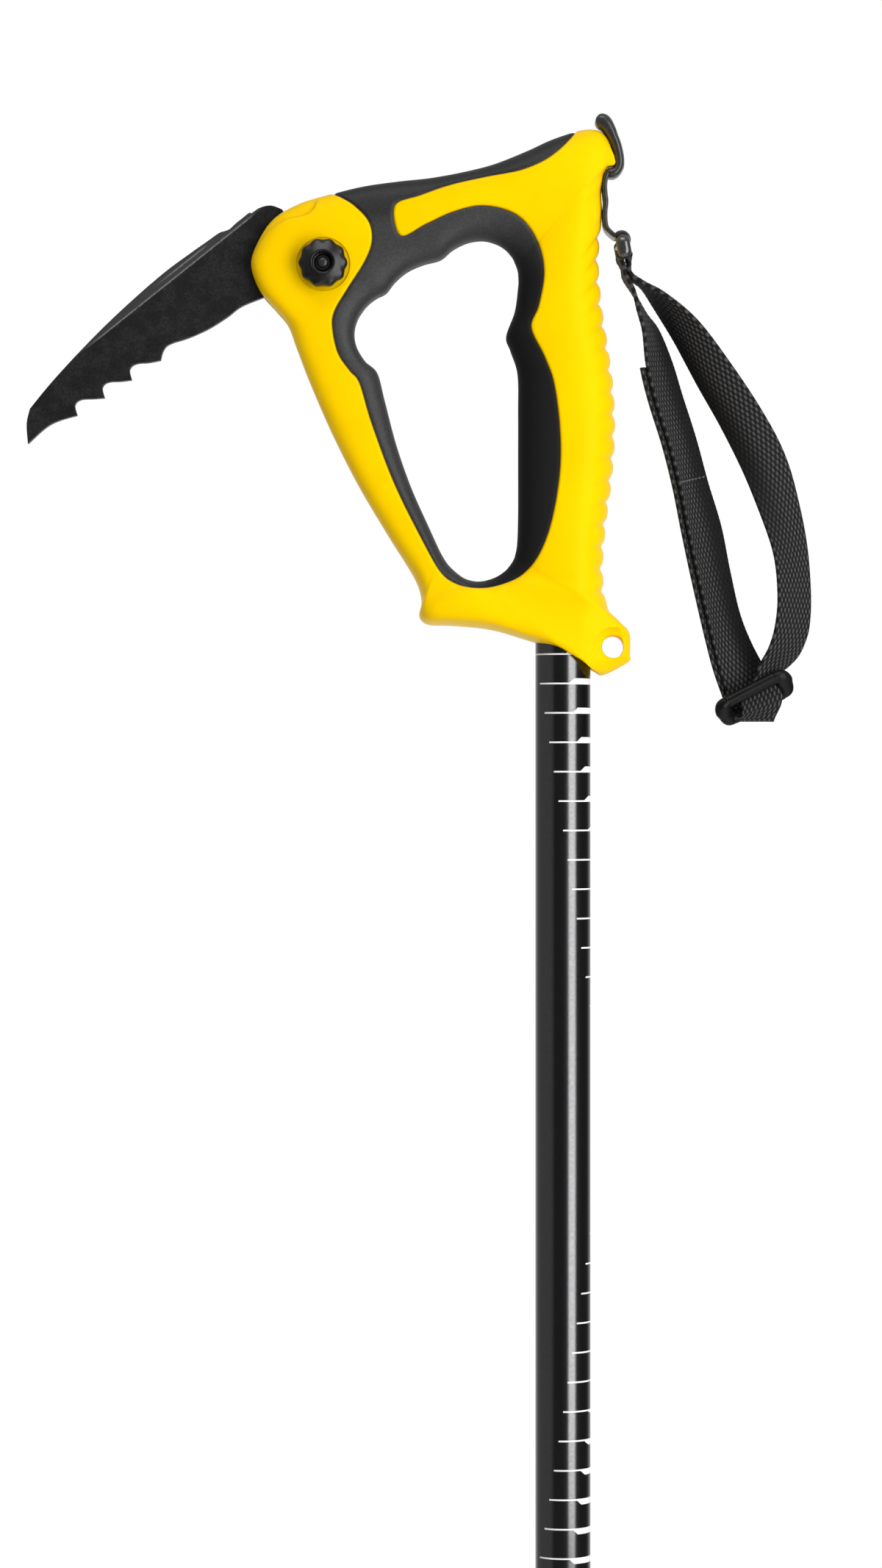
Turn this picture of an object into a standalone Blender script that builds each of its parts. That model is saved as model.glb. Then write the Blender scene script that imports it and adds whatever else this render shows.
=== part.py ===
"""Self-arrest pole: a D-handle with a folding steel pick on a three-section telescopic pole.

Metres, +Z up. The pole runs along Z with its axis at X = Y = 0, the pick points to -X, and the
origin lies in the palm. The pole is pushed together and the pick is open.
"""

import math

import bmesh
import bpy
import numpy as np
from mathutils import Matrix, Vector

# Fits
FIT = 0.0003                    # gap between pieces that seat on each other
RUNNING_FIT = 0.0002            # radial gap between telescoping tubes
SIDES = 20                      # facets round a turned piece

# Pole
UPPER_TUBE_DIAMETER = 0.018
TUBE_WALL = 0.0008
UPPER_TUBE_TOP = 0.040          # height of the tube's end inside the handle
UPPER_TUBE_LENGTH = 0.440
MIDDLE_TUBE_SHOWN = 0.066       # length left outside when pushed together
LOWER_TUBE_SHOWN = 0.072
PLUG_LENGTH = 0.012
PLUG_FLANGE = 0.002

# Lever clamps
COLLAR_HALF_HEIGHT = 0.016
COLLAR_WALL = 0.0028
EAR_REACH = 0.0062
EAR_THICKNESS = 0.0038
EAR_HEIGHT = 0.020
SLIT_WIDTH = 0.0016
CLAMP_SCREW_DIAMETER = 0.003
CLAMP_PIN_DIAMETER = 0.006
LEVER_HUB_DIAMETER = 0.0086
LEVER_THICKNESS = 0.003
LEVER_HEIGHT = 0.016
LEVER_FORK = 0.0044
LEVER_SWEEP = 168               # degrees, where the arm ends round the collar
LIP_START = 0.86                # share of the arm where its lip starts
LIP_RISE = 0.0016
CLAMP_TURN = -55                # degrees, which way the ears point

# Lower end
FERRULE_DIAMETER = 0.0172
FERRULE_SOCKET = 0.016
FERRULE_LENGTH = 0.056
FERRULE_TIP_DIAMETER = 0.010
SPIKE_DIAMETER = 0.0052
SPIKE_SOCKET = 0.014
SPIKE_SHOWN = 0.011
BASKET_DIAMETER = 0.070
BASKET_DROP = 0.026             # from the ferrule's top to the basket's hub
BASKET_HUB_HEIGHT = 0.010
BASKET_HUB_WALL = 0.0024
BASKET_SHEET = 0.0022
BASKET_DISH = 0.0035            # fall from the hub to the rim
BASKET_SLOTS = 6

# Handle
BOSS_RADIUS = 0.0225
BOSS_HALF = 0.0110              # half thickness at the pick's boss
STRUT_HALF = 0.0090             # half thickness of the front strut
TOP_HALF = 0.0115               # half thickness of the top bar
SIDE_WALL = 0.0042              # handle wall beside the pole
FLANGE_HALF = 0.0170            # half thickness of the hand rest under the palm
SKIN = 0.0026                   # rubber over the core
RIB_PITCH = 0.0073              # palm ribs
RIB_DEPTH = 0.0010
RIB_TOP = 0.064
TAB_HALF = 0.0045               # half thickness of the tail tab's flat
TAB_FACE_RADIUS = 0.0062
EYE_DIAMETER = 0.0072           # lanyard eye in the tail tab
EYE_WALL = 0.0069               # from the pole's bore back to the eye's middle
EYE_Z = -0.0770

# Pick and its pivot
PIVOT_X = -0.078
PIVOT_Z = 0.047
PICK_THICKNESS = 0.004
PICK_REACH = 0.1124             # pivot to tip
PICK_DROOP = 210.8              # degrees, direction of the tip from the pivot, pick open
FOLD_ANGLE = 77.5
HUB_RADIUS = 0.0094
SHOULDER_LEAD = 84.8            # degrees, from the stop face on the hub round to the tip
TOOTH_COUNT = 4
TOOTH_PITCH = 0.0109
FIRST_TOOTH = 0.0185            # from the tip back to the first tooth's point
TOOTH_DEPTH = 0.0039
TOOTH_DROP = 0.0003             # first tooth's point below the line from pivot to tip
TOOTH_RISE = 0.0005             # each tooth's point over the one before it
BEVEL_SLOPE = 0.32              # fall of the bevel along the pick's back
FACET_SLOPE = 0.90              # fall of the short facet at its top
BEVEL_RISE = 0.012              # reach of the tools that grind them
BEVEL_LIFT = 0.002
SLOT_FLOOR = 0.0008             # room under the teeth when folded
SLOT_END = 0.0016               # room past the tip when folded
BOLT_DIAMETER = 0.005
BOLT_BUTTON_DIAMETER = 0.0034
BOLT_HEAD_DIAMETER = 0.013
BOLT_HEAD_HEIGHT = 0.0030
WASHER_DIAMETER = 0.015
WASHER_THICKNESS = 0.0006
SEAT_DEPTH = 0.0006             # round flats under knob and bolt head
SEAT_MARGIN = 0.0022            # flat left round the knob
KNOB_DIAMETER = 0.0158
KNOB_HEIGHT = 0.0078
KNOB_LOBES = 10
KNOB_LOBE_DEPTH = 0.0004
KNOB_RECESS_DIAMETER = 0.0066
INSERT_DIAMETER = 0.0086
INSERT_LENGTH = 0.0038

# Wrist strap
CAP_HALF = 0.0056               # half width of the strap cap
CAP_THICKNESS = 0.0038
CAP_SCREW_DIAMETER = 0.003
CAP_SCREW_HEAD = 0.0056
CAP_SCREW_LENGTH = 0.012
TETHER_WIDTH = 0.012
TETHER_THICKNESS = 0.0013
LINK_WIRE = 0.0022
LINK_INSIDE = 0.0165            # inside width of the link
LINK_PITCH = 0.0056             # between the link's two bars
WEB_WIDTH = 0.015
WEB_THICKNESS = 0.0015
LONG_SPAN = 0.012               # rows of the strap's route further apart than this lie on a gentle curve
SLIDER_LENGTH = 0.025
SLIDER_BAR = 0.0026
SLIDER_PITCH = 0.0086
SLIDER_THICKNESS = 0.0018

# Values that follow from those above
TUBE_STEP = 2 * (TUBE_WALL + RUNNING_FIT)
MIDDLE_TUBE_DIAMETER = UPPER_TUBE_DIAMETER - TUBE_STEP
LOWER_TUBE_DIAMETER = MIDDLE_TUBE_DIAMETER - TUBE_STEP
UPPER_TUBE_END = UPPER_TUBE_TOP - UPPER_TUBE_LENGTH
MIDDLE_TUBE_END = UPPER_TUBE_END - MIDDLE_TUBE_SHOWN
LOWER_TUBE_END = MIDDLE_TUBE_END - LOWER_TUBE_SHOWN
STOP_ROOM = PLUG_LENGTH + PLUG_FLANGE + 4 * FIT
MIDDLE_TUBE_TOP = UPPER_TUBE_TOP - STOP_ROOM
LOWER_TUBE_TOP = MIDDLE_TUBE_TOP - STOP_ROOM
FERRULE_TOP = LOWER_TUBE_END + FERRULE_SOCKET - FIT
FERRULE_END = FERRULE_TOP - FERRULE_LENGTH
SLOT_HALF = PICK_THICKNESS / 2 + WASHER_THICKNESS + 2 * FIT
SEAT = BOSS_HALF - SEAT_DEPTH
BORE = UPPER_TUBE_DIAMETER / 2 + FIT
REAR_HALF = BORE + SIDE_WALL
PIVOT = Vector((PIVOT_X, 0, PIVOT_Z))
LINK_RADIUS = LINK_WIRE / 2


# Meshes

def finish(name, colour, roughness, metallic=0.0):
    """A Principled material."""
    material = bpy.data.materials.new(name)
    material.use_nodes = True
    shader = material.node_tree.nodes["Principled BSDF"]
    shader.inputs["Base Color"].default_value = (*colour, 1)
    shader.inputs["Roughness"].default_value = roughness
    shader.inputs["Metallic"].default_value = metallic
    return material


def add_object(name, vertices, faces):
    """An object from vertices and faces, with its faces turned outwards."""
    mesh = bpy.data.meshes.new(name)
    mesh.from_pydata([tuple(v) for v in vertices], [], faces)
    work = bmesh.new()
    work.from_mesh(mesh)
    bmesh.ops.recalc_face_normals(work, faces=work.faces)
    work.to_mesh(mesh)
    work.free()
    thing = bpy.data.objects.new(name, mesh)
    bpy.context.scene.collection.objects.link(thing)
    return thing


def combine(thing, other, operation):
    """Joins or cuts one object with another by an exact Boolean, and removes the other."""
    modifier = thing.modifiers.new("combine", "BOOLEAN")
    modifier.operation = operation
    modifier.solver = "EXACT"
    modifier.object = other
    graph = bpy.context.evaluated_depsgraph_get()
    mesh = bpy.data.meshes.new_from_object(thing.evaluated_get(graph))
    thing.modifiers.clear()
    thing.data = mesh
    bpy.data.objects.remove(other)
    work = bmesh.new()
    work.from_mesh(mesh)
    bmesh.ops.remove_doubles(work, verts=work.verts, dist=0.000002)
    bmesh.ops.dissolve_degenerate(work, edges=work.edges, dist=0.000002)
    work.to_mesh(mesh)
    work.free()
    return thing


def cut(thing, *others):
    """Takes others away from thing."""
    for other in others:
        combine(thing, other, "DIFFERENCE")
    return thing


def join(thing, *others):
    """Adds others to thing."""
    for other in others:
        combine(thing, other, "UNION")
    return thing


def turn(thing, matrix):
    """Moves an object's mesh by a matrix."""
    thing.data.transform(matrix)
    return thing


def prism(name, outline, low, high, plane="XZ"):
    """A closed outline carried along the plane's normal, from low to high."""
    if plane == "XZ":
        ring = [[(u, w, v) for u, v in outline] for w in (low, high)]
    else:
        ring = [[(u, v, w) for u, v in outline] for w in (low, high)]
    count = len(outline)
    sides = [(i, (i + 1) % count, (i + 1) % count + count, i + count) for i in range(count)]
    caps = [tuple(range(count)), tuple(range(count, 2 * count))]
    return add_object(name, ring[0] + ring[1], sides + caps)


def block(name, low, high):
    """A box between two corners."""
    outline = [(low[0], low[1]), (high[0], low[1]), (high[0], high[1]), (low[0], high[1])]
    return prism(name, outline, low[2], high[2], "XY")


def turned(name, profile, sides=SIDES, ring=False, lobes=None):
    """A profile of (radius, height) turned about Z.

    A ring's profile closes on itself. Lobes give each row its own wave round the axis.
    """
    angle = np.arange(sides) * 2 * math.pi / sides
    vertices = []
    rows = []
    for index, (radius, height) in enumerate(profile):
        if radius < 1e-9:
            rows.append([len(vertices)] * sides)
            vertices.append((0, 0, height))
            continue
        radii = np.full(sides, radius)
        if lobes:
            radii = radii + lobes[index] * np.cos(KNOB_LOBES * angle)
        rows.append(list(range(len(vertices), len(vertices) + sides)))
        vertices += list(zip(radii * np.cos(angle), radii * np.sin(angle), [height] * sides))
    pairs = list(zip(rows, rows[1:] + (rows[:1] if ring else [])))
    faces = []
    for low, high in pairs:
        for k in range(sides):
            loop = [low[k], low[(k + 1) % sides], high[(k + 1) % sides], high[k]]
            face = list(dict.fromkeys(loop))
            if len(face) > 2:
                faces.append(face)
    return add_object(name, vertices, faces)


def rod(name, radius, low, high, sides=SIDES):
    """A plain cylinder along Z."""
    return turned(name, [(0, low), (radius, low), (radius, high), (0, high)], sides)


def along_y(x, z):
    """Places a piece turned about Z so that its top faces the front, -Y, at a point."""
    return Matrix.Translation((x, 0, z)) @ Matrix.Rotation(math.pi / 2, 4, "X")


def loft(name, rings, closed):
    """Skins rings of points; a closed loft meets itself, an open one has flat ends."""
    count, sides = rings.shape[:2]
    faces = []
    for i in range(count if closed else count - 1):
        here = i * sides
        there = (i + 1) % count * sides
        for k in range(sides):
            after = (k + 1) % sides
            faces.append((here + k, here + after, there + after))
            faces.append((here + k, there + after, there + k))
    if not closed:
        faces += [tuple(range(sides)), tuple(range((count - 1) * sides, count * sides))]
    return add_object(name, rings.reshape(-1, 3), faces)


def spline(rows, steps, closed):
    """A Catmull-Rom curve through rows of numbers, with a count of steps for each span."""
    rows = np.asarray(rows, float)
    count = len(rows)
    spans = count if closed else count - 1
    result = []
    for i in range(spans):
        picks = [i - 1, i, i + 1, i + 2]
        if closed:
            a, b, c, d = rows[[p % count for p in picks]]
        else:
            a, b, c, d = rows[[min(max(p, 0), count - 1) for p in picks]]
        number = steps[i] if isinstance(steps, list) else steps
        for t in np.arange(number) / number:
            result.append(b + t / 2 * (c - a + t * (2 * a - 5 * b + 4 * c - d
                                                    + t * (3 * (b - c) + d - a))))
    if not closed:
        result.append(rows[-1])
    return np.array(result)


# Handle

def back(wall):
    """X of a point behind the pole, by the wall between them."""
    return BORE + wall


def front(wall):
    """X of a point before the pole, by the wall between them."""
    return -BORE - wall


def boss(angle, extra=0.0):
    """A point on the pick's boss, by its direction from the pivot in degrees."""
    radius = BOSS_RADIUS + extra
    turned_by = math.radians(angle)
    return PIVOT_X + radius * math.cos(turned_by), PIVOT_Z + radius * math.sin(turned_by)


def handle_stations():
    """Outer and inner point of each section round the hand opening, from the boss over the top."""
    outer = [boss(179, 0.0012), boss(160, 0.0004), boss(137), boss(113, -0.0006), boss(90, 0.0004)]
    outer += [(-0.0660, 0.0730), (-0.0540, 0.0748), (-0.0434, 0.0760), (-0.0326, 0.0780),
              (-0.0225, 0.0806), (-0.0120, 0.0848), (-0.0040, 0.0885), (back(-0.0053), 0.0912),
              (back(0.0002), 0.0919), (back(0.0033), 0.0908), (back(0.0057), 0.0870),
              (back(0.0071), 0.0815), (back(0.0065), 0.0788), (back(0.0041), 0.0776),
              (back(0.0031), 0.0710)]
    palm = (0.0029, 0.00245, 0.0034, 0.0056, 0.0074, 0.0077, 0.0066, 0.0047, 0.0038)
    outer += [(back(wall), RIB_TOP - 2 * i * RIB_PITCH) for i, wall in enumerate(palm)]
    outer += [(back(0.0053), -0.0638), (back(0.0092), -0.0686), (back(0.0124), -0.0724),
              (back(0.0126), -0.0798), (back(0.0106), -0.0824), (back(0.0040), -0.0857),
              (back(-0.0023), -0.0817), (-0.0010, -0.0776), (-0.0120, -0.0744),
              (-0.0240, -0.0712), (-0.0360, -0.0700), (-0.0440, -0.0696), (-0.0469, -0.0670),
              (-0.0462, -0.0620), (-0.0485, -0.0545), (-0.0575, -0.0400), (-0.0670, -0.0240),
              (-0.0756, -0.0070), (-0.0828, 0.0095), (-0.0870, 0.0205), (-0.0898, 0.0280)]
    outer += [boss(222, -0.0014), boss(201, -0.0002)]
    inner = [(-0.0650, 0.0330), (-0.0630, 0.0352), (-0.0605, 0.0370), (-0.0575, 0.0386),
             (-0.0545, 0.0423), (-0.0505, 0.0456), (-0.0455, 0.0478), (-0.0398, 0.0494),
             (-0.0358, 0.0526), (-0.0310, 0.0549), (-0.0260, 0.0555), (-0.0218, 0.0544),
             (-0.0190, 0.0527), (-0.0174, 0.0510), (front(0.0071), 0.0496),
             (front(0.0065), 0.0482), (front(0.0060), 0.0470), (front(0.0057), 0.0460),
             (front(0.0055), 0.0450), (front(0.0054), 0.0430), (front(0.0055), 0.0405),
             (front(0.0066), 0.0325), (front(0.0094), 0.0244), (front(0.0080), 0.0196),
             (front(0.0057), 0.0120), (front(0.0055), -0.0010), (front(0.0055), -0.0170),
             (front(0.0055), -0.0330), (front(0.0059), -0.0445), (front(0.0075), -0.0494),
             (-0.0183, -0.0513),
             (-0.0198, -0.0526), (-0.0212, -0.0535), (-0.0222, -0.0540), (-0.0236, -0.0546),
             (-0.0250, -0.0550), (-0.0268, -0.0554), (-0.0290, -0.0554), (-0.0320, -0.0544),
             (-0.0352, -0.0522), (-0.0374, -0.0500), (-0.0388, -0.0478), (-0.0403, -0.0450),
             (-0.0435, -0.0380), (-0.0493, -0.0250), (-0.0542, -0.0110), (-0.0580, 0.0035),
             (-0.0604, 0.0124), (-0.0643, 0.0162), (-0.0670, 0.0206), (-0.0679, 0.0252),
             (-0.0670, 0.0296)]
    return np.hstack([outer, inner])


# Rows of the table above: half thickness at the outer and inner edge, and how square the section is.
THICKNESS = {0: (BOSS_HALF, BOSS_HALF, 4.5), 5: (BOSS_HALF, BOSS_HALF, 4.0),
             8: (TOP_HALF, TOP_HALF, 3.0), 12: (TOP_HALF, TOP_HALF, 2.6),
             16: (TOP_HALF - 0.0012, TOP_HALF, 2.6), 21: (REAR_HALF - 0.0006, REAR_HALF - 0.001, 2.5),
             26: (REAR_HALF, REAR_HALF - 0.001, 2.4), 29: (REAR_HALF, REAR_HALF, 2.6),
             31: (0.0090, REAR_HALF, 3.0), 33: (0.0068, REAR_HALF + 0.001, 3.0),
             35: (0.0095, REAR_HALF + 0.001, 3.0), 37: (FLANGE_HALF, REAR_HALF + 0.0006, 3.2),
             39: (FLANGE_HALF - 0.0012, 0.0130, 3.2), 42: (0.0120, 0.0110, 3.0),
             44: (STRUT_HALF, STRUT_HALF + 0.0004, 3.0), 48: (STRUT_HALF, STRUT_HALF + 0.0004, 3.2),
             51: (BOSS_HALF, BOSS_HALF, 4.4)}
PALM_ROWS = range(20, 28)       # rows of the table that the palm ribs cross, two ribs to a row
STRAIGHT_ROWS = (6, 7, 8, 9, 10, 11, 19, 28, 29, 30, 31, 32, 33, 34, 35, 36, 37, 38, 39, 43, 44, 45, 46, 47)


def handle_rows(steps):
    """Outer and inner point, half thicknesses and squareness of sections all round the handle."""
    stations = handle_stations()
    count = len(stations)
    anchors = sorted(THICKNESS)
    values = np.array([THICKNESS[a] for a in anchors])
    profile = np.column_stack([np.interp(range(count), anchors + [count],
                                         list(values[:, k]) + [values[0, k]]) for k in range(3)])
    return spline(np.hstack([stations, profile]), steps, True)


def handle_rings(inset=0.0, ribs=False, fine=2, sides=10):
    """Rounded sections round the hand opening, each set in by the same amount all round."""
    steps = [4 if ribs and i in PALM_ROWS else 1 if i in STRAIGHT_ROWS else fine
             for i in range(len(handle_stations()))]
    rows = handle_rows(steps)
    outer, inner = rows[:, 0:2], rows[:, 2:4]
    across = outer - inner
    width = np.linalg.norm(across, axis=1, keepdims=True)
    across = across / width
    inner = inner + across * inset
    width = width - 2 * inset
    angle = np.arange(sides) * 2 * math.pi / sides
    power = 2 / rows[:, 6:7]
    out = np.sign(np.cos(angle)) * np.abs(np.cos(angle)) ** power
    side = np.sign(np.sin(angle)) * np.abs(np.sin(angle)) ** power
    share = 0.5 + 0.5 * out
    half = rows[:, 5:6] + (rows[:, 4:5] - rows[:, 5:6]) * share - inset
    reach = width * share
    if ribs:
        first = sum(steps[:PALM_ROWS[0]])
        valleys = first + 1 + 2 * np.arange(2 * len(PALM_ROWS))
        reach[valleys] -= RIB_DEPTH * share[valleys] ** 6
    rings = np.empty((len(rows), sides, 3))
    rings[:, :, 0] = inner[:, 0:1] + across[:, 0:1] * reach
    rings[:, :, 1] = -half * side
    rings[:, :, 2] = inner[:, 1:2] + across[:, 1:2] * reach
    return rings


def rubber_outline(grow):
    """The zone that the rubber covers, seen from the front, grown by a little on all sides."""
    ring_edge = [(-0.0765, 0.0720), (-0.0720, 0.0690), (-0.0678, 0.0660), (-0.0632, 0.0608),
                 (-0.0622, 0.0545),
                 (-0.0646, 0.0478), (-0.0700, 0.0392), (-0.0744, 0.0316), (-0.0750, 0.0260),
                 (-0.0732, 0.0182), (-0.0694, 0.0126), (-0.0662, 0.0086), (-0.0624, -0.0040),
                 (-0.0554, -0.0228), (-0.0476, -0.0390), (-0.0404, -0.0518), (-0.0350, -0.0564),
                 (-0.0272, -0.0576), (-0.0196, -0.0562), (-0.0129, -0.0528), (-0.0080, -0.0466),
                 (-0.0042, -0.0366), (-0.0016, -0.0220), (-0.0013, -0.0080), (-0.0032, 0.0076),
                 (-0.0064, 0.0168), (-0.0108, 0.0264), (-0.0084, 0.0334), (-0.0066, 0.0440),
                 (-0.0082, 0.0530), (-0.0124, 0.0604), (-0.0184, 0.0644), (-0.0272, 0.0659),
                 (-0.0362, 0.0638), (-0.0446, 0.0600), (-0.0530, 0.0562)]
    strip_edge = [(-0.0549, 0.0660), (-0.0465, 0.0696), (-0.0366, 0.0732), (-0.0250, 0.0758),
                  (-0.0146, 0.0776), (-0.0070, 0.0806), (-0.0020, 0.0842), (0.0013, 0.0876),
                  (0.0039, 0.0912), (0.0056, 0.0950)]
    points = np.vstack([ring_edge, strip_edge,
                        [(0.0100, 0.1050), (-0.0860, 0.1050), (-0.0830, 0.0800)]])
    ahead = np.roll(points, -1, axis=0) - np.roll(points, 1, axis=0)
    ahead /= np.linalg.norm(ahead, axis=1, keepdims=True)
    outward = np.column_stack([ahead[:, 1], -ahead[:, 0]])
    area = np.sum(points[:, 0] * np.roll(points[:, 1], -1) - points[:, 1] * np.roll(points[:, 0], -1))
    return points + outward * grow * np.sign(area)


def blade_point(along, off, fold=0.0):
    """A point of the pick by its place along and off the line from the pivot to the tip."""
    angle = math.radians(PICK_DROOP + fold)
    ahead = Vector((math.cos(angle), math.sin(angle)))
    aside = Vector((ahead.y, -ahead.x))
    point = Vector((PIVOT_X, PIVOT_Z)) + ahead * along + aside * off
    return point.x, point.y


def arc(radius, start, end, steps):
    """Points round the pivot from one direction to another, in degrees."""
    angles = np.radians(np.linspace(start, end, steps + 1))
    return [(PIVOT_X + radius * math.cos(a), PIVOT_Z + radius * math.sin(a)) for a in angles]


SHOULDER = PICK_DROOP - SHOULDER_LEAD


def slot_cutter():
    """The room that the pick sweeps: hub pocket, stop face, and the slot down the strut."""
    pocket = HUB_RADIUS + FIT
    dip = math.degrees(math.asin(SLOT_FLOOR / pocket))
    floor_start = PICK_DROOP + FOLD_ANGLE + dip - 360
    reach = PICK_REACH + SLOT_END
    stop = math.radians(SHOULDER)
    outward = Vector((math.cos(stop), math.sin(stop)))
    inset = Vector((outward.y, -outward.x)) * FIT
    far = Vector((PIVOT_X, PIVOT_Z)) + outward * 2 * BOSS_RADIUS + inset
    shift = math.degrees(math.asin(FIT / pocket))
    outline = arc(pocket, floor_start, SHOULDER - shift, 24) + [tuple(far)]
    outline += [(PIVOT_X - reach, PIVOT_Z + reach / 2), (PIVOT_X - reach, PIVOT_Z - reach)]
    outline += [blade_point(reach, reach / 3, FOLD_ANGLE), blade_point(reach, -SLOT_FLOOR, FOLD_ANGLE)]
    return prism("slot", outline, -SLOT_HALF, SLOT_HALF)


def make_handle():
    """Yellow core with its tongue under the rubber, and the rubber skin."""
    reach = 4 * FLANGE_HALF
    body = loft("grip_body", handle_rings(ribs=True), True)
    skin = loft("grip_overmould", handle_rings(), True)
    core = loft("core", handle_rings(SKIN, fine=1, sides=8), True)
    room = loft("room", handle_rings(SKIN - FIT, fine=1, sides=8), True)
    cut(body, prism("zone", rubber_outline(FIT / 2), -reach, reach))
    join(body, core)
    combine(skin, prism("zone", rubber_outline(-FIT / 2), -reach, reach), "INTERSECT")
    cut(skin, room)
    cut(body, slot_cutter())
    cut(body, rod("bore", BORE, -4 * reach, UPPER_TUBE_TOP + FIT))
    pivot = along_y(PIVOT_X, PIVOT_Z)
    eye = along_y(back(EYE_WALL), EYE_Z)
    cut(body, turn(rod("bolt_hole", BOLT_DIAMETER / 2 + FIT, -reach, reach, 18), pivot))
    cut(body, turn(rod("eye", EYE_DIAMETER / 2, -reach, reach), eye))
    for side in (-1, 1):
        low, high = sorted((side * SEAT, side * reach))
        cut(body, turn(rod("seat", KNOB_DIAMETER / 2 + SEAT_MARGIN, low, high), pivot))
        low, high = sorted((side * TAB_HALF, side * reach))
        cut(body, turn(rod("tab_face", TAB_FACE_RADIUS, low, high), eye))
    return body, skin


# Pick and pivot

def pick_outline():
    """Tip, back, hump and stop shoulder, hub, belly, and a row of teeth."""
    blunt = (PICK_REACH - 0.0064, 0.0094)
    spine = spline([blunt, (0.827 * PICK_REACH, 0.0140), (0.631 * PICK_REACH, 0.0202),
                    (0.427 * PICK_REACH, 0.0249), (0.310 * PICK_REACH, 0.0263),
                    (0.212 * PICK_REACH, 0.0271), (0.178 * PICK_REACH, 0.0265),
                    (0.143 * PICK_REACH, 0.0272)], 3, False)
    edge = [(PICK_REACH, 0), (PICK_REACH - 0.0030, 0.0058)] + [tuple(p) for p in spine]
    edge += [(0.0118, 0.0276), (0.0080, 0.0273), (0.0045, 0.0260), (0.0021, 0.0231)]
    points = [blade_point(*p) for p in edge]
    points += arc(HUB_RADIUS, SHOULDER, PICK_DROOP - 360, 24)
    last = PICK_REACH - FIRST_TOOTH - (TOOTH_COUNT - 1) * TOOTH_PITCH
    belly = [(HUB_RADIUS + 0.004, 0.0004), (0.355 * last, 0.0016), (0.486 * last, 0.0028),
             (0.575 * last, 0.0022), (0.685 * last, 0.0020), (0.775 * last, 0.0025)]
    points += [blade_point(*p) for p in belly]
    for k in range(TOOTH_COUNT):
        point = last + k * TOOTH_PITCH
        level = (TOOTH_COUNT - 1 - k) * TOOTH_RISE - TOOTH_DROP
        gullet = [(0.66, 0.56), (0.40, 0.92), (0.22, 1.0), (0.12, 0.88), (0.06, 0.62), (0, 0)]
        points += [blade_point(point - before * TOOTH_PITCH, level + rise * TOOTH_DEPTH)
                   for before, rise in gullet]
    points += [blade_point(PICK_REACH - 0.0124, 0.0013), blade_point(PICK_REACH - 0.0074, 0.0015)]
    return points


def bevel_cutter(side, start, end, slope, run_on):
    """A wedge over a line on the blade's face from which the back falls away."""
    start, end = Vector(blade_point(*start)), Vector(blade_point(*end))
    run = (end - start).normalized()
    up = Vector((run.y, -run.x))
    face = side * PICK_THICKNESS / 2
    lift = face + side * BEVEL_LIFT
    deep = face - side * slope * BEVEL_RISE
    rings = np.empty((2, 4, 3))
    for i, foot in enumerate((start - run * run_on, end + run * run_on)):
        top = foot + up * BEVEL_RISE
        low = foot - up * FIT
        rings[i] = [(foot.x, face, foot.y), (low.x, lift, low.y), (top.x, lift, top.y),
                    (top.x, deep, top.y)]
    return loft("bevel", rings, False)


def make_pick():
    """The blade with its bevelled back, a short steeper facet on it, and its pivot hole."""
    half = PICK_THICKNESS / 2
    pick = prism("pick", pick_outline(), -half, half)
    for side in (-1, 1):
        cut(pick, bevel_cutter(side, (0.095 * PICK_REACH, 0.0264), (0.72 * PICK_REACH, 0.0168), BEVEL_SLOPE,
                               0.18 * PICK_REACH),
            bevel_cutter(side, (0.255 * PICK_REACH, 0.0257), (0.453 * PICK_REACH, 0.0228), FACET_SLOPE, 0))
    hole = rod("hole", BOLT_DIAMETER / 2 + FIT, -1, 1, 24)
    return cut(pick, turn(hole, along_y(PIVOT_X, PIVOT_Z)))


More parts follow.
